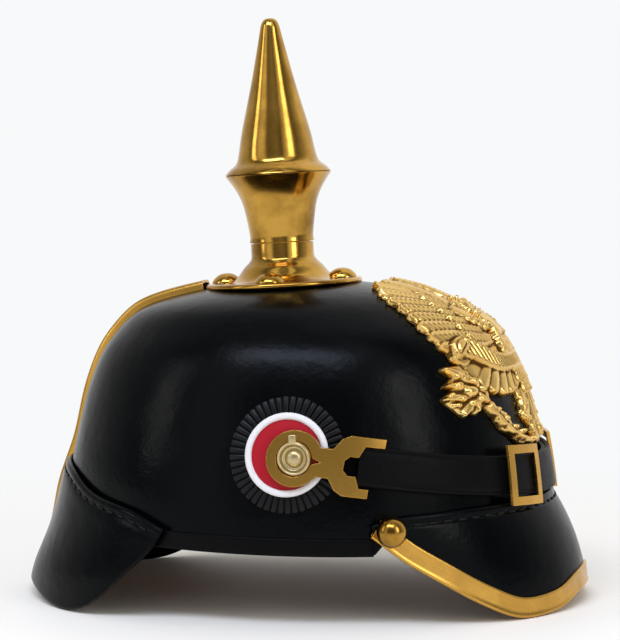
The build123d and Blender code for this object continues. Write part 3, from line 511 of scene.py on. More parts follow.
# Neck guard and front visor: levels as height, reach, centre and half width, and edges seen from
# the side as X and height. The corner is where the top edge starts, the tip where the low one ends.
guard = {"rows": ((86.0, 103.6, 3.6, 91.5), (74.0, 107.4, 3.5, 93.5), (60.0, 111.5, 1.0, 94.6),
                  (38.0, 120.0, -5.0, 94.8), (27.0, 125.6, -8.0, 94.8), (16.0, 129.2, -10.0, 94.5),
                  (2.0, 130.6, -11.0, 94.2)),
         "top": ((-38.0, 49.0), (-45.0, 52.2), (-56.0, 57.0), (-72.0, 61.0), (-84.0, 65.4),
                 (-95.0, 71.4), (-108.0, 74.8), (-140.0, 77.0)),
         "bottom": ((-140.0, 18.5), (-123.0, 17.5), (-113.5, 14.8), (-103.5, 11.5), (-93.5, 10.45),
                    (-83.0, 12.6), (-72.5, 18.8), (-56.0, 31.5), (-45.5, 40.0)),
         "corner": (-38.6, 49.0), "tip": (-38.0, 48.9), "start": (70.0, 20.0), "skive": 1.3}
visor = {"rows": ((56.0, 117.6, 4.2, 94.4), (51.5, 118.8, 4.2, 94.8), (44.0, 122.4, 5.0, 94.6),
                  (20.0, 131.2, 8.0, 92.5), (10.0, 132.7, 9.0, 91.4), (-4.0, 133.2, 9.0, 90.6)),
         "top": ((53.0, 48.2), (60.0, 50.2), (72.0, 51.1), (92.0, 51.2), (118.0, 50.9),
                 (140.0, 50.9)),
         "bottom": ((140.0, 8.6), (132.0, 6.4), (127.5, 2.9), (120.0, 0.9), (111.0, 1.3),
                    (99.8, 7.0), (89.0, 14.4), (78.6, 22.2), (65.1, 32.2), (56.6, 39.8),
                    (51.5, 44.2)),
         "corner": (53.4, 48.0), "tip": (52.6, 48.0), "start": (50.0, 10.0), "skive": 0.0,
         "insideTrim": 0.8}
skullForm = Form([(skullSize["height"] * z, (skullSize["front"] * f - skullSize["rear"] * r) / 2,
                   (skullSize["front"] * f + skullSize["rear"] * r) / 2, skullSize["width"] / 2 * w)
                  for z, f, r, w in zip(*(skullSize[k] for k in ("levels", "frontShares",
                                                                 "rearShares", "widthShares")))])
guardForm = Form([(z, c, reach + c, w) for z, reach, c, w in guard["rows"]])
visorForm = Form([(z, c, reach - c, w) for z, reach, c, w in visor["rows"]])


def buildSkull():
    # The leather runs under the guard and the visor by their laps and is open at the vent.
    leather = skullSize["leather"]
    edge = [(x, z - skullSize["guardLap"]) for x, z in guard["top"][:2:-1]]
    edge += [skullSize["sideRear"], skullSize["sideFront"]]
    edge += [(x, z - skullSize["visorLap"]) for x, z in visor["top"][1:]]
    theta = np.linspace(0, tau, skullSize["around"], endpoint=False)
    low = edgeOn(skullForm, theta, edgeHeight(edge, False), 45.0)
    steps = np.arange(formSteps)
    first = np.interp(low, skullForm.z, steps)
    up = np.linspace(0, 1, skullSize["rows"])[:, None]
    z = np.interp(first + (formSteps - 1 - first) * up, steps, skullForm.z)
    th = np.broadcast_to(theta, z.shape)
    outer, inner = skullForm.at(th, z), skullForm.at(th, z, -leather)
    inner[..., 2] = np.minimum(inner[..., 2], skullSize["height"] - leather)
    caps = []
    vent = np.stack([skullSize["vent"] * np.cos(theta), skullSize["vent"] * np.sin(theta),
                     outer[-1][:, 2]], -1)
    for share in (0.66, 0.33, 0.0):
        caps.append(outer[-1] * share + vent * (1 - share))
        caps[-1][:, 2] = outer[-1][:, 2]
    under = [c - np.array([0, 0, leather]) for c in caps][::-1]
    return hoop(np.concatenate([outer, np.array(caps), np.array(under), inner[::-1]]))


addPiece("leatherSkull", buildSkull(), blackLeather, "helmet", ["skull"])
print("skull ready")

# Flared leather: guard and visor, with a welt along the top edge and a stitched groove under it
flare = {"leather": 2.8, "weltRise": 0.35, "weltAt": 1.4, "weltWide": 1.0, "grooveAt": 4.0,
         "grooveDeep": 0.5, "grooveWide": 0.7, "skiveReach": 9.0, "edge": 0.9, "lowRound": 1.2,
         "topRound": 0.8, "columns": 300, "least": 0.05, "farRows": 46,
         "nearRows": (0, 0.3, 0.7, 1.1, 1.5, 1.9, 2.4, 2.9, 3.3, 3.65, 4.0, 4.35, 4.7, 5.2, 6.0)}


def skived(dist, skive):
    # How much thinner the leather is near its sewn top edge, so that it lies close to the skull.
    return skive * np.clip(1 - dist / flare["skiveReach"], 0, 1) ** 2


def flaredLeather(form, part, low, thetaFrom, thetaTo):
    theta = np.linspace(thetaFrom, thetaTo, flare["columns"])
    top = edgeOn(form, theta, edgeHeight(part["top"]), part["start"][0])
    low = edgeOn(form, theta, edgeHeight(low), part["start"][1])
    height = top - np.minimum(low, top - flare["least"])
    near = np.array(flare["nearRows"])
    shares = [np.minimum(d / height, 0.9 * d / near[-1]) for d in near]
    shares += [shares[-1] + (1 - shares[-1]) * k for k in np.linspace(0, 1, flare["farRows"])[1:]]
    dist = np.array(shares) * height
    z = top - dist
    th = np.broadcast_to(theta, z.shape)
    g = flare["weltRise"] * np.exp(-((dist - flare["weltAt"]) / flare["weltWide"]) ** 2)
    g -= flare["grooveDeep"] * np.exp(-((dist - flare["grooveAt"]) / flare["grooveWide"]) ** 2)
    g -= skived(dist, part["skive"])
    g -= flare["edge"] * (1 - quarterRound((height - dist) / flare["lowRound"]))
    g -= flare["edge"] * (1 - quarterRound(dist / flare["topRound"]))
    rings = np.concatenate([form.at(th, z, g), form.at(th, z, -flare["leather"])[::-1]])
    return tube(rings.transpose(1, 0, 2)), theta, top


stitch = {"pitch": 7.0, "length": 3.9, "width": 1.1, "thick": 0.8, "round": 0.36, "sunk": 0.3,
          "variation": 0.06, "seed": 4}


def stitchRow(name, form, theta, top, skive):
    # Short threads at an even pitch in the groove under the welt.
    grow = 0 * theta - stitch["sunk"] - skived(flare["grooveAt"], skive)
    line = form.at(theta, top - flare["grooveAt"], grow)
    steps, pitch = lengths(line), stitch["pitch"]
    spots = np.arange(pitch * 0.8, steps[-1] - pitch * 0.5, pitch)
    at = readAt(spots, steps, line)
    fore = unit(readAt(spots, steps, np.gradient(line, axis=0)))
    thread = softBlock((stitch["length"], stitch["width"], stitch["thick"]), stitch["round"], 2)
    row = repeated(name, at, form.normal(*form.angles(at)), fore, thread, None, threadBlack,
                   stitch["variation"], stitch["seed"])
    settle(row, "helmet")


guardCorner, visorCorner = angleAt(guardForm, *guard["corner"]), angleAt(visorForm, *visor["corner"])
visorLow = [(x, z + visor["insideTrim"]) for x, z in visor["bottom"]]
rowsToSew = []
for name, node, row, form, part, low, start, end in (
        ("leatherNeckGuard", "neck_guard", "guardStitches", guardForm, guard,
         list(guard["bottom"]), guardCorner, tau - guardCorner),
        ("leatherFrontVisor", "front_visor", "visorStitches", visorForm, visor, visorLow,
         -visorCorner, visorCorner)):
    solid, theta, top = flaredLeather(form, part, low + [part["tip"]], start, end)
    addPiece(name, solid, blackLeather, "helmet", [node])
    rowsToSew.append((row, form, theta, top, part["skive"]))
for row in rowsToSew:
    stitchRow(*row)
print("guard and visor ready")


def slab(half, low, high, groove=None, radius=0.6, steps=4):
    # A flat strip's closed cross-section with rounded upper edges and, if asked, a tooled line
    # near each of them.
    side = [(-half, high - radius)]
    for k in range(1, steps + 1):
        a = pi / 2 * k / steps
        side.append((-half + radius - radius * cos(a), high - radius + radius * sin(a)))
    if groove:
        side += [(-half + (groove + d), high - deep) for d, deep in ((-0.5, 0), (0, 0.3), (0.5, 0))]
    top = [(-half * 0.5, high), (0, high), (half * 0.5, high)]
    return ([(-half, low)] + side + top + [(-x, h) for x, h in side[::-1]]
            + [(half, low), (half * 0.5, low), (0, low), (-half * 0.5, low)])


# Brass trim round the visor's edge, with a rolled lip and a bead along its upper side
trim = {"width": 9.0, "brass": 1.0, "lip": 1.05, "bead": 0.35, "corner": (52.6, 43.6), "step": 1.2}


def trimSection():
    w, b, lip, leather = trim["width"], trim["brass"], trim["lip"], flare["leather"]
    arc = [(lip - lip * cos(a) + 0.05, lip * sin(a)) for a in np.linspace(-0.6, pi * 0.72, 9)]
    return [(0.3, -leather - b), (0.05, -1.2)] + arc + [
        (3.1, b * 0.82), (5.0, b), (w - 1.5, b), (w - 1.1, b + trim["bead"]),
        (w - 0.4, b + trim["bead"]), (w, b), (w, 0.0), (1.0, 0.0), (1.0, -leather), (w, -leather),
        (w, -leather - b)]


trimCorner = angleAt(visorForm, *trim["corner"])
trimTheta = np.linspace(-trimCorner, trimCorner, 500)
trimEdge = visorForm.at(trimTheta, edgeOn(visorForm, trimTheta, edgeHeight(visor["bottom"]), 8.0))
addPiece("brassVisorTrim", sweep(visorForm, evenly(trimEdge, trim["step"]), trimSection()),
         sheetBrass, "helmet", ["visor_trim"], 50)

# Raised leather band along the skull's lower edge
band = {"height": 7.6, "low": 0.05, "thick": 1.2, "from": -43.0, "to": 53.0}
(rearX, rearZ), (foreX, foreZ) = skullSize["sideRear"], skullSize["sideFront"]
xs = np.linspace(band["from"], band["to"], 90)
zs = rearZ + (xs - rearX) / (foreX - rearX) * (foreZ - rearZ) + band["height"] / 2
for sign, side in sides:
    c, l, w = skullForm.level(zs)
    line = skullForm.at(sign * np.arccos((xs - c) / l), zs)
    strip = sweep(skullForm, line, slab(band["height"] / 2, band["low"], band["thick"]))
    addPiece("leather_edge_band_" + side, strip, edgeLeather, "helmet",
             ["edge_band_" + side])
print("trim and band ready")

# Rear spine: a channel that follows the skull and the guard, flatter on the guard's flare
spine = {"width": 13.0, "rise": 4.0, "low": 0.5, "lowBelow": 40.0, "round": 2.2, "brass": 1.0,
         "guardReach": 129.2, "bottom": 15.5}


def spineOnSkull(i):
    # The skull's level i at the rear, raised square to its slope there.
    shares, f, r = skullSize["levels"], skullSize["frontShares"], skullSize["rearShares"]
    a, b = max(i - 1, 0), min(i + 1, len(shares) - 1)
    up = skullSize["height"] * (shares[b] - shares[a])
    inward = (skullSize["front"] + skullSize["rear"]) / 2 * (f[a] + r[a] - f[b] - r[b]) / 2
    length = hypot(up, inward)
    return (-(skullSize["rear"] * r[i] + spine["rise"] * up / length),
            skullSize["height"] * shares[i] + spine["rise"] * inward / length)


def spineSection():
    half, r, deep, b = spine["width"] / 2, spine["round"], spine["rise"], spine["brass"]
    side = [(-half, -deep - 0.2), (-half, -r)]
    side += [(-half + r - r * cos(a), -r + r * sin(a)) for a in np.linspace(pi / 10, pi / 2, 6)]
    top = [(-half * 0.35, 0.12), (0, 0.16), (half * 0.35, 0.12)]
    return side + top + [(-x, d) for x, d in side[::-1]] + [
        (half - b, -deep - 0.2), (half - b, -1.6), (0, -1.0), (-half + b, -1.6),
        (-half + b, -deep - 0.2)]


def buildSpine():
    line = [spineOnSkull(i) for i in range(len(skullSize["levels"]) - 1, 2, -1)]
    line += [(-reach - spine["rise"] * (1.0 if z > spine["lowBelow"] else spine["low"]), z)
             for z, reach, c, w in guard["rows"] if 16.0 < z < 74.0]
    line += [(-spine["guardReach"] - spine["rise"] * spine["low"], spine["bottom"])]
    path = smoothLine(line, 160)
    tangent = unit(np.gradient(path, axis=0))
    out = np.stack([tangent[:, 1], -tangent[:, 0]], -1)
    out = np.where((out[:, :1] * path[:, :1] > 0) | (out[:, 1:] > 0.7), out, -out)
    across, above = np.asarray(spineSection()).T
    x, z = (path[:, k:k + 1] + above * out[:, k:k + 1] for k in (0, 1))
    return tube(np.stack([x, np.broadcast_to(across, x.shape), z], -1))


addPiece("brassRearSpine", buildSpine(), sheetBrass, "helmet", ["rear_spine"], 60)
print("spine ready")

# Spike and its base, turned round the spike's axis; the tip's radius stands for a pole
spike = {"segments": 128, "wall": 1.2, "tip": 0.02,
         "cone": ((24.3, 201.0), (22.3, 203.2), (19.4, 205.6), (18.1, 209.0), (16.6, 216.9),
                  (13.4, 230.0), (9.8, 244.2), (6.9, 257.0), (4.8, 266.6), (3.9, 269.8),
                  (2.4, 271.7), (0.02, 272.19)),
         "hollow": ((22.3, 203.0), (18.1, 209.0), (9.8, 244.2), (3.2, 266.0)), "hollowTop": 262.0,
         "neck": ((14.75, 172.0), (15.1, 175.0), (15.9, 180.3), (17.6, 188.0), (19.6, 192.6),
                  (22.6, 197.4), (24.3, 199.7)),
         "foot": ((14.1, 168.75), (14.75, 168.75), (14.98, 169.0), (14.98, 169.5), (14.82, 169.9),
                  (14.75, 170.6)),
         "ridge": ((24.5, 200.0), (24.3, 200.28), (22.0, 200.3))}
coneOuter = np.concatenate([[(22.0, 200.36), (24.1, 200.36), (24.5, 200.6)],
                            smoothLine(spike["cone"], 90)])
coneInner = [(r - spike["wall"], z - 1.0) for r, z in smoothLine(spike["hollow"], 30)]
cone = np.concatenate([coneOuter[::-1], [(21.1, 200.36)], coneInner,
                       [(spike["tip"], spike["hollowTop"])]])
addPiece("brassSpikeCone", lathe(cone, spike["segments"]), brass, "spike",
         ["spike_cone"], 40)
neckOuter = smoothLine(spike["neck"], 60)
neckInner = [(r - spike["wall"], z) for r, z in neckOuter][::-1]
neck = np.concatenate([spike["foot"], neckOuter, spike["ridge"], neckInner, [(13.5, 168.75)]])
addPiece("brassSpikeNeck", lathe(neck, spike["segments"]), brass, "spike",
         ["spike_neck"], 40)

base = {"rim": 36.4, "rimRound": 1.4, "rimZ": 149.5,
        "trumpet": ((33.0, 151.0), (26.0, 151.15), (22.6, 152.6), (20.6, 154.4), (18.1, 157.6),
                    (15.9, 159.8), (14.75, 161.4)),
        "collar": ((14.6, 162.5), (14.6, 168.0), (14.5, 168.4), (13.2, 168.4), (13.2, 161.0),
                   (17.0, 156.8), (20.5, 152.2), (22.0, 150.6), (30.0, 149.8), (31.0, 148.75))}
rimArc = [(base["rim"] - base["rimRound"] + base["rimRound"] * cos(a),
           base["rimZ"] + base["rimRound"] * sin(a)) for a in np.linspace(-pi / 2, pi / 2, 12)]
flange = np.concatenate([[(33.0, 148.1)], rimArc, smoothLine(base["trumpet"], 50), base["collar"]])
addPiece("brassSpikeBase", lathe(flange, spike["segments"]), brass, "helmet",
         ["spike_base"], 40)

# Dome studs on the flange and ball studs at the visor's corners, with shanks of one size
stud = {"count": 4, "circle": 27.6, "z": 151.1, "shank": 1.7, "shankEnd": -12.0,
        "dome": ((0.02, 4.4), (1.8, 4.24), (3.6, 3.65), (5.2, 2.55), (6.3, 1.3), (6.8, 0.3)),
        "foot": ((6.85, 0.0), (6.3, -0.05))}
ball = {"x": 59.0, "z": 45.2, "stand": 7.6, "radius": 6.6, "shankEnd": -12.5,
        "foot": ((4.4, -4.5), (4.3, -5.2))}
domeProfile = np.concatenate([smoothLine(stud["dome"], 16), stud["foot"], [
    (stud["shank"], -0.05), (stud["shank"], stud["shankEnd"]), (spike["tip"], stud["shankEnd"])]])
turns = [k * tau / stud["count"] for k in range(stud["count"])]
domes = [placed(lathe(domeProfile, 40), (stud["circle"] * cos(a), stud["circle"] * sin(a), stud["z"]),
                (0, 0, 1)) for a in turns]
addPiece("brassDomeStuds", merged(domes), brass, "helmet", ["base_studs"], 50)
ballProfile = [(ball["radius"] * sin(a), ball["radius"] * cos(a))
               for a in np.linspace(0.003, pi * 0.74, 26)]
ballProfile += list(ball["foot"]) + [(stud["shank"], -5.3), (stud["shank"], ball["shankEnd"]),
                                     (spike["tip"], ball["shankEnd"])]
ballTheta, ballZ = angleAt(skullForm, ball["x"], ball["z"]), np.array(ball["z"])
balls = [placed(lathe(ballProfile, 56), skullForm.at(np.array(sign * ballTheta), ballZ, ball["stand"]),
                skullForm.normal(np.array(sign * ballTheta), ballZ)) for sign, side in sides]
addPiece("brassBallStuds", merged(balls), brass, "helmet", ["trim_studs"], 50)
print("spike ready")

# Chin strap: two leathers that overlap at the front, the left one over the right one
strap = {"half": 8.5, "slope": 0.198, "postX": 22.8, "postZ": 78.6, "clear": 2.1, "leather": 1.9,
         "gap": 0.2, "stand": 4.0, "start": 27.0, "centre": 4.5, "reach": 112.0, "overlap": 40.85,
         "step": 3.0, "groove": 1.6}


def strapLine(theta):
    z = np.full_like(theta, 65.0)
    for _ in range(20):
        c, l, w = skullForm.level(z)
        x = c + (l + strap["stand"]) * np.cos(theta)
        z = 0.5 * z + 0.5 * (strap["postZ"] - strap["slope"] * (x - strap["postX"]))
    return skullForm.at(theta, z)


def strapAngle(y):
    # The angle at which the strap passes a distance y from the middle.
    theta = np.linspace(-1.4, 1.4, 800)
    return float(np.interp(y, skullForm.drop(strapLine(theta), strap["stand"])[:, 1], theta))


def strapRun(start, end, count, step, section):
    return sweep(skullForm, evenly(strapLine(np.linspace(start, end, count)), step), section)


strapStart = float(np.arccos((strap["postX"] + strap["start"] - strap["centre"]) / strap["reach"]))
overlap, under = strap["overlap"], strap["clear"] + strap["leather"]
over = under + strap["gap"] + strap["leather"]
flat = slab(strap["half"], strap["clear"], under, strap["groove"])
raised = slab(strap["half"], under + strap["gap"], over, strap["groove"])
filled = slab(strap["half"] - 0.05, strap["clear"] + 0.05, over - 0.05)
addPiece("leatherStrapRight", strapRun(-strapStart, strapAngle(overlap - 0.3), 300, 2.0, flat),
         strapLeather, "chin_strap", ["chin_strap_right"], 60)
stepAngle = strapAngle(overlap + strap["step"])
leftRuns = [strapRun(strapStart, strapAngle(overlap), 200, 2.0, flat),
            strapRun(strapAngle(overlap), stepAngle, 12, 1.0, filled),
            strapRun(stepAngle, strapAngle(-overlap), 200, 2.0, raised)]
addPiece("leatherStrapLeft", merged(leftRuns), strapLeather, "chin_strap",
         ["chin_strap_left"], 60)
print("straps ready")

# Side discs: a pleated ring under a white bead with a red dish inside it
cockade = {"x": 18.6, "z": 79.5, "ringOut": 17.6, "ringIn": 14.7, "low": 1.65, "dish": 0.6,
           "ring": 1.5, "hole": 2.6, "segments": 96, "pleats": 48, "outer": 24.7, "inner": 16.4,
           "pleatWide": 2.5, "pleatThick": 1.7, "pleatRound": 0.78, "pleatAt": 1.0,
           "variation": 0.03, "seed": 7,
           "base": ((3.0, 0.15), (23.6, 0.15), (23.9, 0.5), (23.6, 0.95), (3.0, 1.35))}


def onSide(sign, radius, angle, grow):
    # Points round the disc's middle, on the skull and raised by grow, with the skull's normals.
    x, z = cockade["x"] + radius * np.cos(angle), cockade["z"] + radius * np.sin(angle)
    c, l, w = skullForm.level(z)
    theta = sign * np.arccos(np.clip((x - c) / l, -1, 1))
    return skullForm.at(theta, z, grow), skullForm.normal(theta, z)


def sideRing(sign, profile):
    # A closed solid turned round the disc's middle from (radius, height over the skull).
    prof = np.asarray(profile, float)
    ang = np.linspace(0, tau, cockade["segments"], endpoint=False)
    r, a = np.meshgrid(prof[:, 0], ang, indexing="ij")
    return hoop(onSide(sign, r, a, np.broadcast_to(prof[:, 1:], r.shape))[0])


def discRows():
    # The disc's profile, and how many of its rows are white.
    low, out, inner, hole = (cockade[k] for k in ("low", "ringOut", "ringIn", "hole"))
    dish, mid, half = low + cockade["dish"], (out + inner) / 2, (out - inner) / 2
    bead = [(mid + half * cos(a), low + 0.5 + (cockade["ring"] - 0.5) * sin(a))
            for a in np.linspace(0, pi, 13)]
    white = [(hole, low), (out - 0.2, low), (out, low + 0.2)] + bead
    return white + [(inner - 0.25, dish - 0.2), (inner - 1.2, dish - 0.05), (10.0, dish),
                    (5.0, dish), (hole, dish)], len(white)


def pleat():
    # One fold, wider outwards and higher in its middle, with one side over the next fold.
    length = cockade["outer"] - cockade["inner"]
    verts, faces = softBlock((length, cockade["pleatWide"], cockade["pleatThick"]),
                             cockade["pleatRound"], 3)
    share = (verts[:, 0] + length / 2) / length
    verts[:, 1] *= 0.7 + 0.45 * share
    verts[:, 2] += 0.45 * np.sin(pi * share) + 0.12 * verts[:, 1]
    return verts, faces


discProfile, whiteRows = discRows()
angles = np.arange(cockade["pleats"]) * tau / cockade["pleats"]
reach = (cockade["outer"] + cockade["inner"]) / 2
for sign, side in sides:
    disc = addPiece("paintedDisc_" + side, sideRing(sign, discProfile), whiteEnamel, "helmet",
                    ["disc_" + side], 40)
    disc.data.materials.append(redEnamel)
    for q in disc.data.polygons:
        q.material_index = int(q.index // cockade["segments"] >= whiteRows - 1)
    at, up = onSide(sign, reach, angles, cockade["pleatAt"])
    fore = unit(onSide(sign, reach + 3, angles, cockade["pleatAt"])[0] - at)
    ring = repeated("pleatedRing_" + side, at, up, fore, pleat(), sideRing(sign, cockade["base"]),
                    ribbonBlack, cockade["variation"], cockade["seed"])
    settle(ring, "helmet", ["rosette_" + side])

# Side posts: a dished knob with a dome in it, and a nose at its top
knob = {"x": 22.8, "z": 78.6, "top": 94.0, "radius": 7.3, "shank": 2.4, "inner": 80.0, "nose": 10.2,
        "noseFrom": 6.2, "noseWide": 3.2, "noseThick": 1.7, "noseRound": 0.45,
        "dome": ((0.02, -0.1), (1.5, -0.3), (2.8, -0.95), (3.7, -2.05)),
        "rim": ((4.0, -2.45), (4.8, -2.5), (5.4, -2.1), (5.7, -1.2), (6.0, -0.35), (6.5, -0.02),
                (7.0, -0.25), (7.28, -0.9), (7.3, -1.6))}
knobEnd = knob["inner"] - knob["top"]
knobProfile = np.concatenate([smoothLine(knob["dome"], 12), smoothLine(knob["rim"], 28), [
    (knob["radius"], -5.4), (7.0, -5.6), (knob["shank"], -5.6), (knob["shank"], knobEnd),
    (spike["tip"], knobEnd)]])


def beside(solid, sign, out, up):
    # A solid drawn round Z, turned to point out of the helmet's side.
    v, faces = solid
    return np.stack([knob["x"] + v[:, 0], sign * (out + v[:, 2]), up + v[:, 1]], -1), faces


for sign, side in sides:
    body = beside(lathe(knobProfile, 72), sign, knob["top"], knob["z"])
    block = softBlock((knob["noseWide"], knob["nose"] - knob["noseFrom"], knob["noseThick"]),
                      knob["noseRound"], 3)
    nose = beside(block, sign, knob["top"] - knob["noseThick"] / 2,
                  knob["z"] + (knob["nose"] + knob["noseFrom"]) / 2)
    addPiece("turnedKnob_" + side, merged([body, nose]), wornBrass, "helmet",
             ["side_post_" + side], 45)
print("side discs and knobs ready")

# Liner: a leather band with soft tongues that lean in to the crown
liner = {"leather": 1.4, "loose": 0.15, "top": 122.0, "fold": 66.0, "low": 50.0, "mouth": 58.0,
         "tongues": 12, "gap": 5.0, "sag": 2.2, "tipFrom": 0.86, "tipNarrow": 0.42}


def linerBand():
    ang = np.linspace(0, tau, 180, endpoint=False)
    grow = -skullSize["leather"] - liner["loose"]
    low, fold, back = liner["low"], liner["fold"], grow - liner["leather"]
    section = [(low, grow), (fold - 0.4, grow), (fold + 0.3, grow - 0.7), (fold - 0.2, back),
               (low + 0.3, back), (low - 0.2, grow - 0.7)]
    return hoop(np.array([skullForm.at(ang, z + 0 * ang, g) for z, g in section]))


def linerTongue(k):
    c, l, w = (float(part) for part in skullForm.level(liner["fold"]))
    l, w = (part - skullSize["leather"] - liner["loose"] for part in (l, w))
    first, last = ((2 * k + d) * pi / liner["tongues"] for d in (-1, 1))
    rows, cols, mouth = 26, 15, liner["mouth"]
    out, back = [], []
    for i in range(rows):
        t = i / (rows - 1)
        z = liner["fold"] - 0.6 + (liner["top"] - liner["fold"] + 0.6) * t
        cx, rx, ry = c * (1 - t), l + (mouth - l) * t, w + (mouth * w / l - w) * t
        cut = liner["gap"] / 2 / ((rx + ry) / 2)
        tip = max(0.0, (t - liner["tipFrom"]) / (1 - liner["tipFrom"]))
        narrow = 1 - liner["tipNarrow"] * (1 - sqrt(max(0.0, 1 - tip ** 2)))
        a = (first + last) / 2 + ((last - first) / 2 - cut) * narrow * np.linspace(-1, 1, cols)
        bow = np.cos(np.linspace(-pi / 2, pi / 2, cols))
        soft = liner["sag"] * (sin(pi * min(t * 1.15, 1.0)) * (0.45 + 0.55 * bow)
                               + 0.3 * sin(3.1 * k + 5 * t) * bow * t)
        p = np.stack([cx + (rx - 0.2) * np.cos(a), (ry - 0.2) * np.sin(a), z + 0 * a], -1)
        inward = unit(np.stack([-np.cos(a) / rx, -np.sin(a) / ry, 0 * a], -1))
        out.append(p + inward * soft[:, None])
        back.append(out[-1] + inward * liner["leather"])
    return tube(np.concatenate([np.array(out), np.array(back)[:, ::-1]], axis=1))


linerParts = [linerBand()] + [linerTongue(k) for k in range(liner["tongues"])]
addPiece("tonguedLiner", merged(linerParts), linerLeather, "helmet", ["liner"], 60)
print("liner ready")

# Eagle plate: an embossed sheet drawn as a height field over the front of the skull. Its points
# are distances from the middle and heights in a view that looks down at the plate by its tilt.
plate = {"step": 0.45, "crisp": 0.5, "back": 0.2, "sheet": 0.9, "lift": 0.15, "edge": 1.4,
         "axisX": 10.0, "axisZ": 90.0, "tilt": 38.0, "half": 60, "seeds": 900,
         "wing": ((9, 20), (8, 32), (10, 38), (11, 45), (9.8, 52), (7.2, 58), (6.6, 64), (6.8, 70),
                  (5.6, 77), (6.2, 83.5), (9.5, 87), (13.5, 88.4), (18, 87.4), (24, 84.4),
                  (29.5, 81.4), (32.6, 79.4), (33.4, 76.4), (36.4, 74.6), (36.6, 71),
                  (38.8, 68.6), (39.2, 65.8), (42.2, 62.6), (42.4, 60), (45, 57), (44.4, 53.2),
                  (46.4, 50.4), (45.2, 47.6), (46.6, 44.4), (44.8, 41), (45.4, 37), (43.6, 33.4),
                  (42, 28), (30, 17), (12, 12)),
         "band": ((10.8, 46), (8.6, 56), (7.8, 63), (8, 70), (7, 77), (7.8, 84), (13, 86.4),
                  (15.5, 80), (14.5, 70), (15.5, 61), (19, 53), (16, 46)),
         "shoulder": ((12.4, 49.5), (15.5, 56.5), (19.5, 55), (20, 50), (17, 46.4), (13.4, 46.4)),
         "body": ((0, 8.6), (8, 11), (11.5, 18), (12, 26), (9.5, 32), (7, 35), (5.5, 38), (0, 40)),
         "head": ((5.2, 34), (6.2, 38.5), (5.2, 43.5), (2, 46.8), (-3.5, 46.8), (-8.4, 44.4),
                  (-9.8, 41.4), (-8.6, 40.4), (-6.8, 41.4), (-5.2, 40.2), (-5, 34)),
         "crown": ((-5, 48), (-7.9, 52), (-6.3, 55.6), (-2.4, 56.6), (0, 55.4), (2.4, 56.6),
                   (6.3, 55.6), (7.9, 52), (5, 48)),
         "fan": ((0, 7.7), (5, 9.1), (10, 8.9), (15, 10.9), (20, 10.4), (25.5, 11.5), (30, 14.3),
                 (35, 16.3), (38.5, 21), (42, 30), (30, 33), (0, 33)),
         "claw": ((36, 26.9), (41, 32.6), (45, 34.5), (50.6, 37.4), (52, 36), (50, 31.5),
                  (54.6, 30.6), (52, 27.4), (57, 26.6), (56, 23), (54, 18.6), (51.5, 13.8),
                  (49, 14.7), (46, 11.8), (43, 13.1), (39, 12.7), (36.5, 14.1), (35, 18.2),
                  (36.5, 21.8)),
         "branch": ((42.5, 17.7), (40, 10.5), (37.6, 5.8), (35.5, 0.1), (30.5, -4.2), (26, -9),
                    (20, -11.1), (12, -12.8), (12, -9.6), (17, -8.1), (20, -6.3), (26, -0.8),
                    (28.5, 5.1), (34, 9.7), (37.5, 18.4)),
         "branchPath": ((38.5, 14), (36, 6.6), (32.5, 1.2), (27.5, -4.0), (21.5, -7.7),
                        (15, -10.6)),
         "tail": ((0, 12.6), (11, 11.9), (13.5, 9.2), (13, 3.5), (15.5, 0.6), (13.5, -3.5),
                  (9.5, -5.8), (8, -9.5), (12, -12.6), (7, -12.9), (0, -12.9)),
         "knot": ((-7, -12.4), (7, -12.4), (8, -9.4), (4, -6), (-4, -6), (-8, -9.4)),
         "shield": ((-5.6, 36), (5.6, 36), (6.0, 32), (4.2, 28.6), (0, 26.4), (-4.2, 28.6),
                    (-6.0, 32)),
         "curl": ((41.6, 35.4), (43.6, 39), (41, 43), (36.4, 43.8), (33.4, 41.4), (34, 38),
                  (37.6, 36.4)),
         "ribbonLow": ((-41.4, 37.4), (-34.3, 30.2), (-26.3, 22.9), (-20.5, 20.2), (-12, 18.9),
                       (0, 18.4), (12, 18.9), (20.5, 20.2), (26.3, 22.9), (34.3, 30.2),
                       (41.4, 37.4)),
         "ribbonHigh": ((-35, 42.4), (-31, 39.4), (-24.4, 32.2), (-15.2, 27.2), (0, 25.6),
                        (15.2, 27.2), (24.4, 32.2), (31, 39.4), (35, 42.4))}
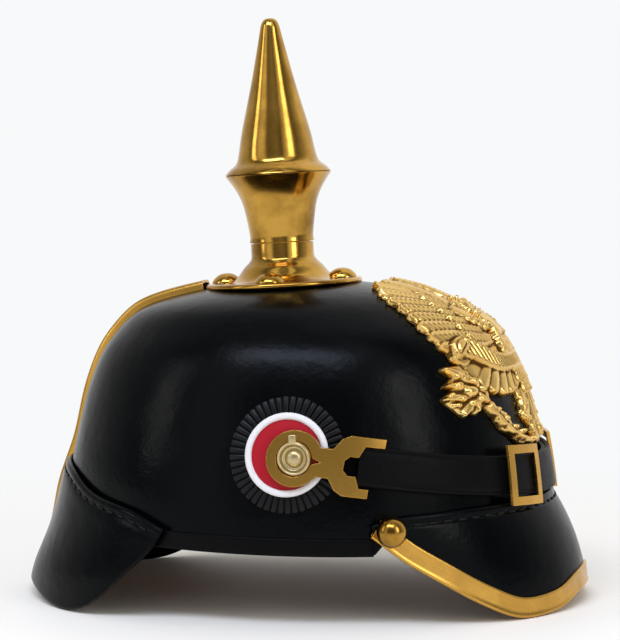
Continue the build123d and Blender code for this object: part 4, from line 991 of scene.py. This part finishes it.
# Leaves and feathers as root, tip and width; knobs as middle and radius
relief = {"claws": ((43, 24, 51.4, 36.8, 5.2), (44, 21.7, 54.4, 30.4, 4.8), (44, 18.6, 57, 25.9, 5.0),
                    (43, 18.1, 52.5, 15, 4.6), (42, 18.8, 45.5, 12.6, 4.0),
                    (42, 19.7, 38.6, 13.3, 3.8), (41, 21.4, 43, 32.5, 4.6)),
          "clawKnobs": ((45.5, 21.8, 3.0), (49, 27.2, 1.9), (50, 21.5, 2.0), (46, 17, 1.9),
                        (41.5, 16.6, 2.0), (42, 24.5, 2.1), (47.4, 30.1, 1.6), (52.6, 20.2, 1.4),
                        (39, 19.6, 1.7), (53, 25.6, 1.2)),
          "feathers": ((11, 23, 43.2, 29.5, 8.2), (12, 28, 45.2, 37.6, 8.2),
                       (12.5, 33, 46.4, 45, 8.2), (13, 38, 46.2, 51.6, 8.2),
                       (13, 42.5, 44.6, 58.4, 8.0), (12.5, 47, 41.8, 64.4, 7.8),
                       (11.5, 51, 38.6, 70.6, 7.8), (10.5, 54.5, 35.8, 76.6, 8.0),
                       (9.5, 58, 29.5, 82.4, 8.6), (8.5, 61, 18.5, 87.6, 10.0)),
          "fan": ((24, 28, 38.5, 19.6, 6.4), (21, 26, 33.5, 14.8, 6.6), (17, 24.2, 26.6, 11.2, 6.6),
                  (12.5, 23.5, 19.2, 9.9, 6.8), (8, 23.1, 12.4, 8.9, 6.8)),
          "tail": ((6, 12.1, 13.6, 0.5, 6.2), (6, 4.8, 14.2, -2.4, 5.6), (4, -1, 8.6, -9.5, 4.8),
                   (3, 8, 4.4, -6, 4.4)),
          "tailKnobs": ((9.5, 2.4, 1.5), (11, -2.4, 1.5), (6.4, -7.4, 1.5), (9.4, -11.2, 1.5))}


class Drawing:
    def __init__(self):
        self.alphas = np.linspace(-0.25, 1.35, plate["seeds"])
        self.arc = lengths(self.surface(np.zeros(plate["seeds"]), self.alphas, 3.0))
        steps = np.arange(formSteps)
        heights = np.interp(np.linspace(0, formSteps - 1, 700), steps, skullForm.z)
        th, zz = np.meshgrid(np.linspace(0, 1.3, 520), heights[heights > 60])
        self.cloud = skullForm.at(th, zz, 1.5).reshape(-1, 3)
        tilt = radians(plate["tilt"])
        self.seen = self.cloud[:, 2] * cos(tilt) - self.cloud[:, 0] * sin(tilt)
        first, last = (self.plan([point])[0][1] for point in ((0, -14), (13.5, 89.5)))
        self.y, self.v = np.meshgrid(np.arange(-plate["half"], plate["half"] + 0.01, plate["step"]),
                                     np.arange(first - 1, last + 2, plate["step"]))
        self.height = np.zeros_like(self.y)
        self.inside = np.full_like(self.y, -9.0)

    def surface(self, y, alpha, grow):
        # Point of the skull, raised by grow, in the plane y along a ray from the plate's own axis.
        low, high = np.full(y.shape, 15.0), np.full(y.shape, 125.0)
        for _ in range(30):
            mid = (low + high) / 2
            x, z = plate["axisX"] + mid * np.cos(alpha), plate["axisZ"] + mid * np.sin(alpha)
            c, l, w = skullForm.level(z)
            out = (((x - c) / l) ** 2 + (y / w) ** 2 > 1) | (z > skullSize["height"])
            high, low = np.where(out, mid, high), np.where(out, low, mid)
        p = np.stack([plate["axisX"] + low * np.cos(alpha), y,
                      plate["axisZ"] + low * np.sin(alpha)], -1)
        return p + skullForm.normal(*skullForm.angles(p)) * np.asarray(grow)[..., None]

    def plan(self, points):
        # Points of the tilted view as distances across and along the sheet
        found = []
        for y, v in points:
            p = self.cloud[np.argmin((self.cloud[:, 1] - abs(y)) ** 2 + (self.seen - v) ** 2)]
            alpha = atan2(p[2] - plate["axisZ"], p[0] - plate["axisX"])
            found.append((y, float(np.interp(alpha, self.alphas, self.arc))))
        return np.array(found)

    def distance(self, outline):
        # Distance inside an outline, negative outside it.
        p = np.asarray(outline)
        best = np.full(self.y.shape, 1e9)
        sign = np.zeros(self.y.shape, bool)
        for (ax, ay), (bx, by) in zip(p, np.roll(p, -1, axis=0)):
            ex, ey = bx - ax, by - ay
            t = ((self.y - ax) * ex + (self.v - ay) * ey) / max(ex * ex + ey * ey, 1e-9)
            t = np.clip(t, 0, 1)
            best = np.minimum(best, (self.y - ax - t * ex) ** 2 + (self.v - ay - t * ey) ** 2)
            if by != ay:
                sign ^= ((ay > self.v) != (by > self.v)) & (
                    self.y < (bx - ax) * (self.v - ay) / (by - ay) + ax)
        return np.where(sign, 1, -1) * np.sqrt(best)

    def paint(self, sd, height):
        on = sd > 0
        self.height[on] = height[on]
        self.inside = np.maximum(self.inside, sd)

    def area(self, points, level, swell=0.0, reach=1.0, smooth=3, line=None):
        # A plate that swells within reach of its edge, with a raised or sunk line along it.
        sd = self.distance(rounded(self.plan(points), smooth))
        height = level + swell * np.sqrt(np.clip(sd / reach, 0, 1))
        if line:
            amount, at, width = line
            height = height + amount * np.exp(-((sd - at) / width) ** 2)
        self.paint(sd, height)

    def leaf(self, root, tip, width, level, bend, dome, rib, barbs, pitch, blunt):
        # One feather or leaf from root to tip, with a rib and slanting barbs.
        (ry, rv), (ty, tv) = self.plan([root, tip])
        length = hypot(ty - ry, tv - rv)
        dy, dv = (ty - ry) / length, (tv - rv) / length
        along = (self.y - ry) * dy + (self.v - rv) * dv
        u = along / length
        across = np.abs((self.y - ry) * -dv + (self.v - rv) * dy - bend * 4 * u * (1 - u))
        uc = np.clip(u, 0, 1)
        tipped = np.clip(1 - ((uc - 1 + blunt) / blunt) ** 2, 0, 1) * (uc > 1 - blunt) + (
            uc <= 1 - blunt)
        half = width / 2 * np.sqrt(np.clip(uc / 0.25, 0, 1)) * np.sqrt(tipped)
        beyond = np.minimum(np.abs(along), np.abs(along - length))
        sd = np.where((u > 0) & (u < 1), half - across, -np.hypot(across, beyond))
        w = np.clip(across / np.maximum(half, 1e-3), 0, 1)
        h = level + dome * np.sqrt(1 - w ** 2) + rib * np.exp(-(across / 0.5) ** 2) - 0.25 * (1 - uc)
        self.paint(sd, h + barbs * np.sin((along + 1.1 * across) * tau / pitch))

    def leaves(self, s, rows, level, bend, *shape):
        for ry, rv, ty, tv, width in rows:
            self.leaf((s * ry, rv), (s * ty, tv), width, level, bend * s, *shape)

    def blob(self, centre, size, level, squash=1.0, turn=0.0, swell=None):
        (cy, cv), = self.plan([centre])
        y, v = self.y - cy, self.v - cv
        a, b = y * cos(turn) + v * sin(turn), (-y * sin(turn) + v * cos(turn)) / squash
        r = np.hypot(a, b)
        dome = np.sqrt(np.clip(1 - (r / size) ** 2, 0, 1))
        self.paint((size - r) * min(1, squash), level + (swell or size * 0.75) * dome)


def rounded(points, steps):
    # A closed smooth outline through the points.
    p = np.asarray(points, float)
    if steps < 2:
        return p
    out = []
    for i in range(len(p)):
        a, b, c, d = p[i - 1], p[i], p[(i + 1) % len(p)], p[(i + 2) % len(p)]
        for k in range(steps):
            t = k / steps
            out.append(0.5 * (2 * b + (c - a) * t + (2 * a - 5 * b + 4 * c - d) * t ** 2
                              + (3 * b - a - 3 * c + d) * t ** 3))
    return np.array(out)


def onBoth(points):
    return list(points) + [(-y, z) for y, z in reversed(points) if y != 0]


def between(a, b, share):
    return a[0] + (b[0] - a[0]) * share, a[1] + (b[1] - a[1]) * share


def drawSide(art, s):
    # Branch, claw and wing of one side
    def flip(name):
        return [(s * y, v) for y, v in plate[name]]
    art.area(flip("branch"), 0.9, 0.9, 4)
    path = plate["branchPath"]
    for k, (a, b) in enumerate(zip(path, path[1:])):
        art.leaf((s * a[0], a[1]), (s * b[0], b[1] - 0.4), 5.6 - 0.4 * k, 1.6, 0.4 * s, 1.4, 0.5,
                 0.22, 1.3, 0.5)
        art.blob((s * (a[0] - 1.6), a[1] + 2.0), 1.35, 2.2)
    art.area(flip("claw"), 1.0, 1.1, 3)
    art.leaves(s, relief["claws"], 1.8, 0.6, 1.5, 0.2, 0.12, 1.4, 0.6)
    for y, v, r in relief["clawKnobs"]:
        art.blob((s * y, v), r, 2.6)
    art.area(flip("wing"), 0.7, 0.4, 3)
    rows = relief["feathers"]
    for share, level, scale, dome, lag in ((1.0, 1.0, 1.0, 1.1, 0), (0.5, 1.8, 0.8, 0.9, 0.5)):
        for k, (ry, rv, ty, tv, width) in enumerate(rows):
            root, tip = (ry, rv), (ty, tv)
            if lag and k + 1 < len(rows):  # the short row lies between the long feathers
                root = between(root, rows[k + 1][:2], lag)
                tip = between(tip, rows[k + 1][2:4], lag)
            tip = between(root, tip, share)
            art.leaf((s * root[0], root[1]), (s * tip[0], tip[1]), width * scale, level,
                     -1.4 * s * share, dome, 0.45, 0.26, 2.3, 0.2)
    art.area(flip("band"), 1.9, 1.1, 4)
    for k in range(15):
        for y in (9.4 + (k % 2), 11.6 + (k % 2), 13.6):
            art.blob((s * y, 57 + 2 * k), 0.55, 2.8, swell=0.3)
    for k in range(8):
        t = k / 7
        art.blob((s * (12 + 5 * sin(pi * t)), 41 + 15 * t), 3.0, 2.5, 0.8, 0.4)
    art.area(flip("shoulder"), 3.0, 1.1, 3.5)


def drawMiddle(art):
    # Fan of feathers, tail, scaled body and its shield
    art.area(onBoth(plate["fan"]), 0.8, 0.5, 3)
    for s in (1, -1):
        art.leaves(s, relief["fan"], 1.3, 0.4, 1.3, 0.2, 0.08, 1.6, 0.22)
    art.leaf((0, 24.3), (0, 6.4), 8.0, 1.5, 0.0, 1.3, 0.3, 0.08, 1.6, 0.22)
    for s in (1, -1):
        art.area([(s * y, v) for y, v in plate["tail"]], 0.9, 0.8, 3)
        art.leaves(s, relief["tail"], 1.4, -0.7, 1.4, 0.3, 0.18, 1.3, 0.35)
        for y, v, r in relief["tailKnobs"]:
            art.blob((s * y, v), r, 2.1)
    art.area(plate["knot"], 1.4, 1.3, 3)
    art.blob((0, -8.8), 3.0, 2.4)
    art.area(onBoth(plate["body"]), 2.3, 1.4, 8)
    for row, v in enumerate(np.arange(36.5, 9, -2.7)):
        half = 4.0 + 7.0 * sin(pi * np.clip((39 - v) / 32, 0, 1)) ** 0.7
        for y in np.arange(-half + (row % 2) * 1.5, half, 3.0):
            art.leaf((y, v + 1.6), (y * 1.03, v - 2.5), 3.2, 2.9 + 0.6 * (1 - (y / 12) ** 2), 0.0,
                     0.7, 0.15, 0.0, 1.0, 0.5)
    art.area(plate["shield"], 3.7, smooth=2, line=(0.4, 0.6, 0.45))
    for k in range(4):
        art.blob((0, 34.4 - 2.0 * k), 0.95, 3.6)


def drawRibbon(art):
    # A fluted ribbon across the body with a curl at each end
    low, high = (smoothLine(plate[name], 70) for name in ("ribbonLow", "ribbonHigh"))
    sd = art.distance(art.plan(list(low) + list(high[::-1])))
    flutes = 0.4 * np.sin(art.y * tau / 2.3) * np.clip((sd - 1.2) / 0.5, 0, 1)
    art.paint(sd, 3.3 + 0.6 * np.exp(-((sd - 0.7) / 0.45) ** 2) + flutes)
    for s in (1, -1):
        art.area([(s * y, v) for y, v in plate["curl"]], 3.5, 1.1, 3, line=(-1.2, 1.9, 0.4))


def drawHead(art):
    # Head with its eye and neck feathers, and the crown over it
    art.area(plate["head"], 3.2, 1.5, 3)
    art.blob((-3.6, 43.8), 0.8, 4.6)
    for k, y in enumerate((0.4, 2.2, 3.8)):
        art.leaf((y - 0.5, 44.5 - 1.5 * k), (y + 1.4, 35.5 - k), 2.4, 4.2, 0.3, 0.6, 0.1, 0.0, 1.0,
                 0.4)
    art.area(plate["crown"], 2.8, 0.6, 2)
    art.area(((-5.0, 46.3), (-5.5, 48.8), (5.5, 48.8), (5.0, 46.3)), 4.0, 0.5, smooth=1)
    for s in (1, -1):
        art.leaf((s * 5.0, 48.6), (s * 0.8, 57), 2.4, 3.4, 2.6 * s, 0.9, 0.0, 0.2, 1.4, 0.3)
        for k in range(6):
            art.blob((s * (5.8 + 1.7 * sin(0.25 + k * 0.55)), 48.4 + 1.45 * k), 0.95, 3.7)
    art.leaf((0, 48.6), (0, 57), 2.4, 3.6, 0.0, 0.9, 0.0, 0.2, 1.4, 0.3)
    for k in range(6):
        art.blob((-4.5 + 1.8 * k, 47.6), 0.75, 4.5)
    art.blob((0, 58.2), 1.6, 3.6)
    art.area(((-0.8, 59), (-0.8, 62), (0.8, 62), (0.8, 59)), 3.6, smooth=1)
    art.area(((-2.1, 60), (-2.1, 61.2), (2.1, 61.2), (2.1, 60)), 3.6, smooth=1)


def soften(h, times):
    for _ in range(times):
        for axis in (0, 1):
            h = 0.5 * h + 0.25 * (np.roll(h, 1, axis) + np.roll(h, -1, axis))
    return h


def buildPlate():
    # The drawing's cells as a sheet with a rounded rim, and how deep each point of it lies.
    art, step = Drawing(), plate["step"]
    for s in (1, -1):
        drawSide(art, s)
    drawMiddle(art)
    drawRibbon(art)
    drawHead(art)
    h = soften(art.height, 1)
    h = h + plate["crisp"] * (h - soften(h, 12))
    depth = h - soften(h, 16)
    keep = art.inside > -0.6 * step
    cells = keep[:-1, :-1] & keep[1:, :-1] & keep[:-1, 1:] & keep[1:, 1:]
    used, full = np.zeros_like(keep), np.ones_like(keep)
    rows, cols = cells.shape
    for dy, dx in ((0, 0), (1, 0), (0, 1), (1, 1)):
        used[dy:rows + dy, dx:cols + dx] |= cells
        full[dy:rows + dy, dx:cols + dx] &= cells
    full[0] = full[-1] = full[:, 0] = full[:, -1] = False
    rim = used & ~full
    gv, gy = np.gradient(art.inside, step)
    norm = np.maximum(np.hypot(gv, gy), 0.3)
    move = np.clip(-art.inside, -1.2 * step, 1.2 * step) * rim / norm ** 2
    y, v = art.y + gy * move, art.v + gv * move
    soft = quarterRound(np.where(rim, 0, art.inside) / plate["edge"])[used]
    ids = -np.ones(used.shape, int)
    ids[used] = np.arange(used.sum())
    alpha = np.interp(v[used], art.arc, art.alphas)
    grow = plate["sheet"] + plate["lift"] + (h[used] - plate["lift"]) * soft
    top = art.surface(y[used], alpha, grow)
    back = art.surface(y[used], alpha, plate["back"])
    n = len(top)
    ii, jj = np.nonzero(cells)
    quads = np.stack([ids[ii, jj], ids[ii, jj + 1], ids[ii + 1, jj + 1], ids[ii + 1, jj]], 1)
    edges = {}
    for q in quads:
        for a, b in zip(q, np.roll(q, -1)):
            if (b, a) in edges:
                del edges[(b, a)]
            else:
                edges[(a, b)] = True
    faces = [tuple(q) for q in quads] + [tuple(n + k for k in q[::-1]) for q in quads]
    faces += [(b, a, n + a, n + b) for a, b in edges]
    return (np.concatenate([top, back]), faces), np.concatenate([depth[used], 0 * depth[used]])


solid, depth = buildPlate()
gildedPlate = addPiece("gildedPlate", solid, gilt, "helmet", ["helmet_plate"], 70)
gildedPlate.data.attributes.new("depth", "FLOAT", "POINT").data.foreach_set("value", depth)
print("plate ready", len(gildedPlate.data.polygons))

# Solids of the frame that are shown as they are
asBuilt = {sheetBrass: ("strap_lug_right", "strap_lug_left", "buckle_right", "buckle_left",
                        "spike_spigot", "spine_pins"),
           steel: ("crown_plate", "base_nuts", "trim_nuts", "side_post_nuts", "plate_nuts")}
for material, names in asBuilt.items():
    for name in names:
        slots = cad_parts[name].data.materials
        slots.clear()
        slots.append(material)

# Camera: focal length and frame in pixels, place in millimetres, turns in degrees
cameraSize = {"focal": 2150.0, "frame": 640.0, "sensor": 36.0, "distance": 1000.0, "yaw": 14.0,
              "height": 186.3, "roll": 3.2, "pan": 0.6268, "pitch": 3.1283, "clip": (0.05, 30.0)}


def placeCamera():
    c = cameraSize
    yaw, pan, pitch, roll = (radians(c[k]) for k in ("yaw", "pan", "pitch", "roll"))
    pos = np.array([c["distance"] * sin(yaw), -c["distance"] * cos(yaw), c["height"]])
    fwd = np.array([-sin(yaw), cos(yaw), 0.0])
    right = np.array([cos(yaw), sin(yaw), 0.0])
    up = np.array([0.0, 0.0, 1.0])
    fwd, right = fwd * cos(pan) + right * sin(pan), right * cos(pan) - fwd * sin(pan)
    fwd, up = fwd * cos(pitch) - up * sin(pitch), up * cos(pitch) + fwd * sin(pitch)
    right, up = right * cos(roll) - up * sin(roll), up * cos(roll) + right * sin(roll)
    data = bpy.data.cameras.new("photoCamera")
    data.lens = c["sensor"] * c["focal"] / c["frame"]
    data.sensor_width = c["sensor"]
    data.clip_start, data.clip_end = c["clip"]
    obj = addObject("photoCamera", data)
    m = Matrix.Identity(4)
    columns = (turnWorld(right), turnWorld(up), -turnWorld(fwd), toWorld(pos))
    for k, column in enumerate(columns):
        for r in range(3):
            m[r][k] = column[r]
    obj.matrix_world = m
    bpy.context.scene.camera = obj


placeCamera()

# Lamps: place, target, size, power and colour; the cool one above gives the leather its sheen
lamps = {"topSoft": ((-0.05, -0.85, 1.3), (0, 0, 0.12), (1.15, 0.4), 14.5, "#d6e4ff"),
         "frontSoft": ((1.4, -0.9, 0.8), (0.05, 0, 0.12), (0.45, 0.9), 5, "#ffffff"),
         "backSoft": ((-1.3, -0.7, 0.7), (0, 0, 0.14), (0.3, 0.9), 2.6, "#ffffff")}
for name, (at, target, size, power, colour) in lamps.items():
    data = bpy.data.lights.new(name, "AREA")
    data.shape = "RECTANGLE"
    data.size, data.size_y = size
    data.energy = power
    data.color = linear(colour)[:3]
    lamp = addObject(name, data)
    lamp.location = at
    lamp.rotation_euler = (Vector(target) - Vector(at)).to_track_quat("-Z", "Y").to_euler()

# Surroundings: white where the camera looks, an even soft light on the rest, and in gloss a room
# with bright and dark parts, as shares of a turn and their greys
studio = {"backdrop": "#f8f9fa", "fill": 0.72, "tableColour": "#fcf6ec", "near": 0.12, "far": 0.5,
          "tableHalf": 6.0, "tableZ": -0.0002,
          "room": ((0.0, 0.5), (0.06, 0.1032), (0.1, 0.25), (0.13, 1.0), (0.165, 1.0), (0.2, 0.16),
                   (0.25, 0.24), (0.29, 0.28), (0.33, 0.1032), (0.37, 1.0), (0.42, 0.9),
                   (0.46, 0.1032), (0.54, 0.5), (0.6, 1.0), (0.8, 1.0), (0.9, 0.7), (1.0, 0.5))}


def whiteRays(tree):
    # 1 for what the camera or glass sees directly, and the same for gloss
    path = addNode(tree, "ShaderNodeLightPath").outputs
    direct = addNode(tree, "ShaderNodeMath", {0: path["Is Camera Ray"],
                                              1: path["Is Transmission Ray"]}, operation="MAXIMUM")
    return direct.outputs[0], path["Is Glossy Ray"]


def buildFloor():
    # A wide pale table whose far part turns into plain white, with the helmet's shadow near it
    half = studio["tableHalf"]
    verts = [(x, y, studio["tableZ"]) for y in (-half, half) for x in (-half, half)]
    table = makeMesh("floor", verts, [(0, 1, 3, 2)])
    mat, tree, shader = newMaterial("paleTable", Base_Color=linear(studio["tableColour"]),
                                    Roughness=0.6, Specular_IOR_Level=0.15)
    coords = addNode(tree, "ShaderNodeTexCoord").outputs["Object"]
    away = addNode(tree, "ShaderNodeVectorMath", {0: coords}, operation="LENGTH").outputs["Value"]
    far = addNode(tree, "ShaderNodeMapRange", {"Value": away, "From Min": studio["near"],
                                               "From Max": studio["far"]},
                  interpolation_type="SMOOTHSTEP").outputs[0]
    direct, glossy = whiteRays(tree)
    seen = addNode(tree, "ShaderNodeMath", {0: direct, 1: glossy}, operation="MAXIMUM").outputs[0]
    factor = addNode(tree, "ShaderNodeMath", {0: far, 1: seen}, operation="MULTIPLY").outputs[0]
    white = addNode(tree, "ShaderNodeEmission", {"Color": linear(studio["backdrop"]),
                                                 "Strength": 1.0}).outputs[0]
    blend = addNode(tree, "ShaderNodeMixShader", {0: factor, 1: shader.outputs[0], 2: white})
    tree.links.new(blend.outputs[0], tree.nodes["Material Output"].inputs["Surface"])
    table.data.materials.append(mat)


def buildWorld():
    world = bpy.data.worlds.new("studio")
    bpy.context.scene.world = world
    world.use_nodes = True
    tree = world.node_tree
    plain = tree.nodes["Background"]
    plain.inputs["Color"].default_value = linear(studio["backdrop"])
    plain.inputs["Strength"].default_value = studio["fill"]
    where = addNode(tree, "ShaderNodeTexCoord").outputs["Generated"]
    parts = addNode(tree, "ShaderNodeSeparateXYZ", {"Vector": where}).outputs
    turn = addNode(tree, "ShaderNodeMath", {0: parts["Y"], 1: parts["X"]}, operation="ARCTAN2")
    share = addNode(tree, "ShaderNodeMapRange", {"Value": turn.outputs[0], "From Min": -pi,
                                                 "From Max": pi}).outputs[0]
    room = addNode(tree, "ShaderNodeValToRGB", {"Fac": share},
                   stops=[(place, grey(v)) for place, v in studio["room"]]).outputs["Color"]
    seen, gloss = (addNode(tree, "ShaderNodeBackground", {"Color": colour, "Strength": 1.0}).outputs[0]
                   for colour in (linear(studio["backdrop"]), room))
    direct, glossy = whiteRays(tree)
    first = addNode(tree, "ShaderNodeMixShader", {0: glossy, 1: plain.outputs[0], 2: gloss})
    second = addNode(tree, "ShaderNodeMixShader", {0: direct, 1: first.outputs[0], 2: seen})
    tree.links.new(second.outputs[0], tree.nodes["World Output"].inputs["Surface"])


buildFloor()
buildWorld()
bpy.context.scene.view_settings.view_transform = "Standard"

print("scene ready")
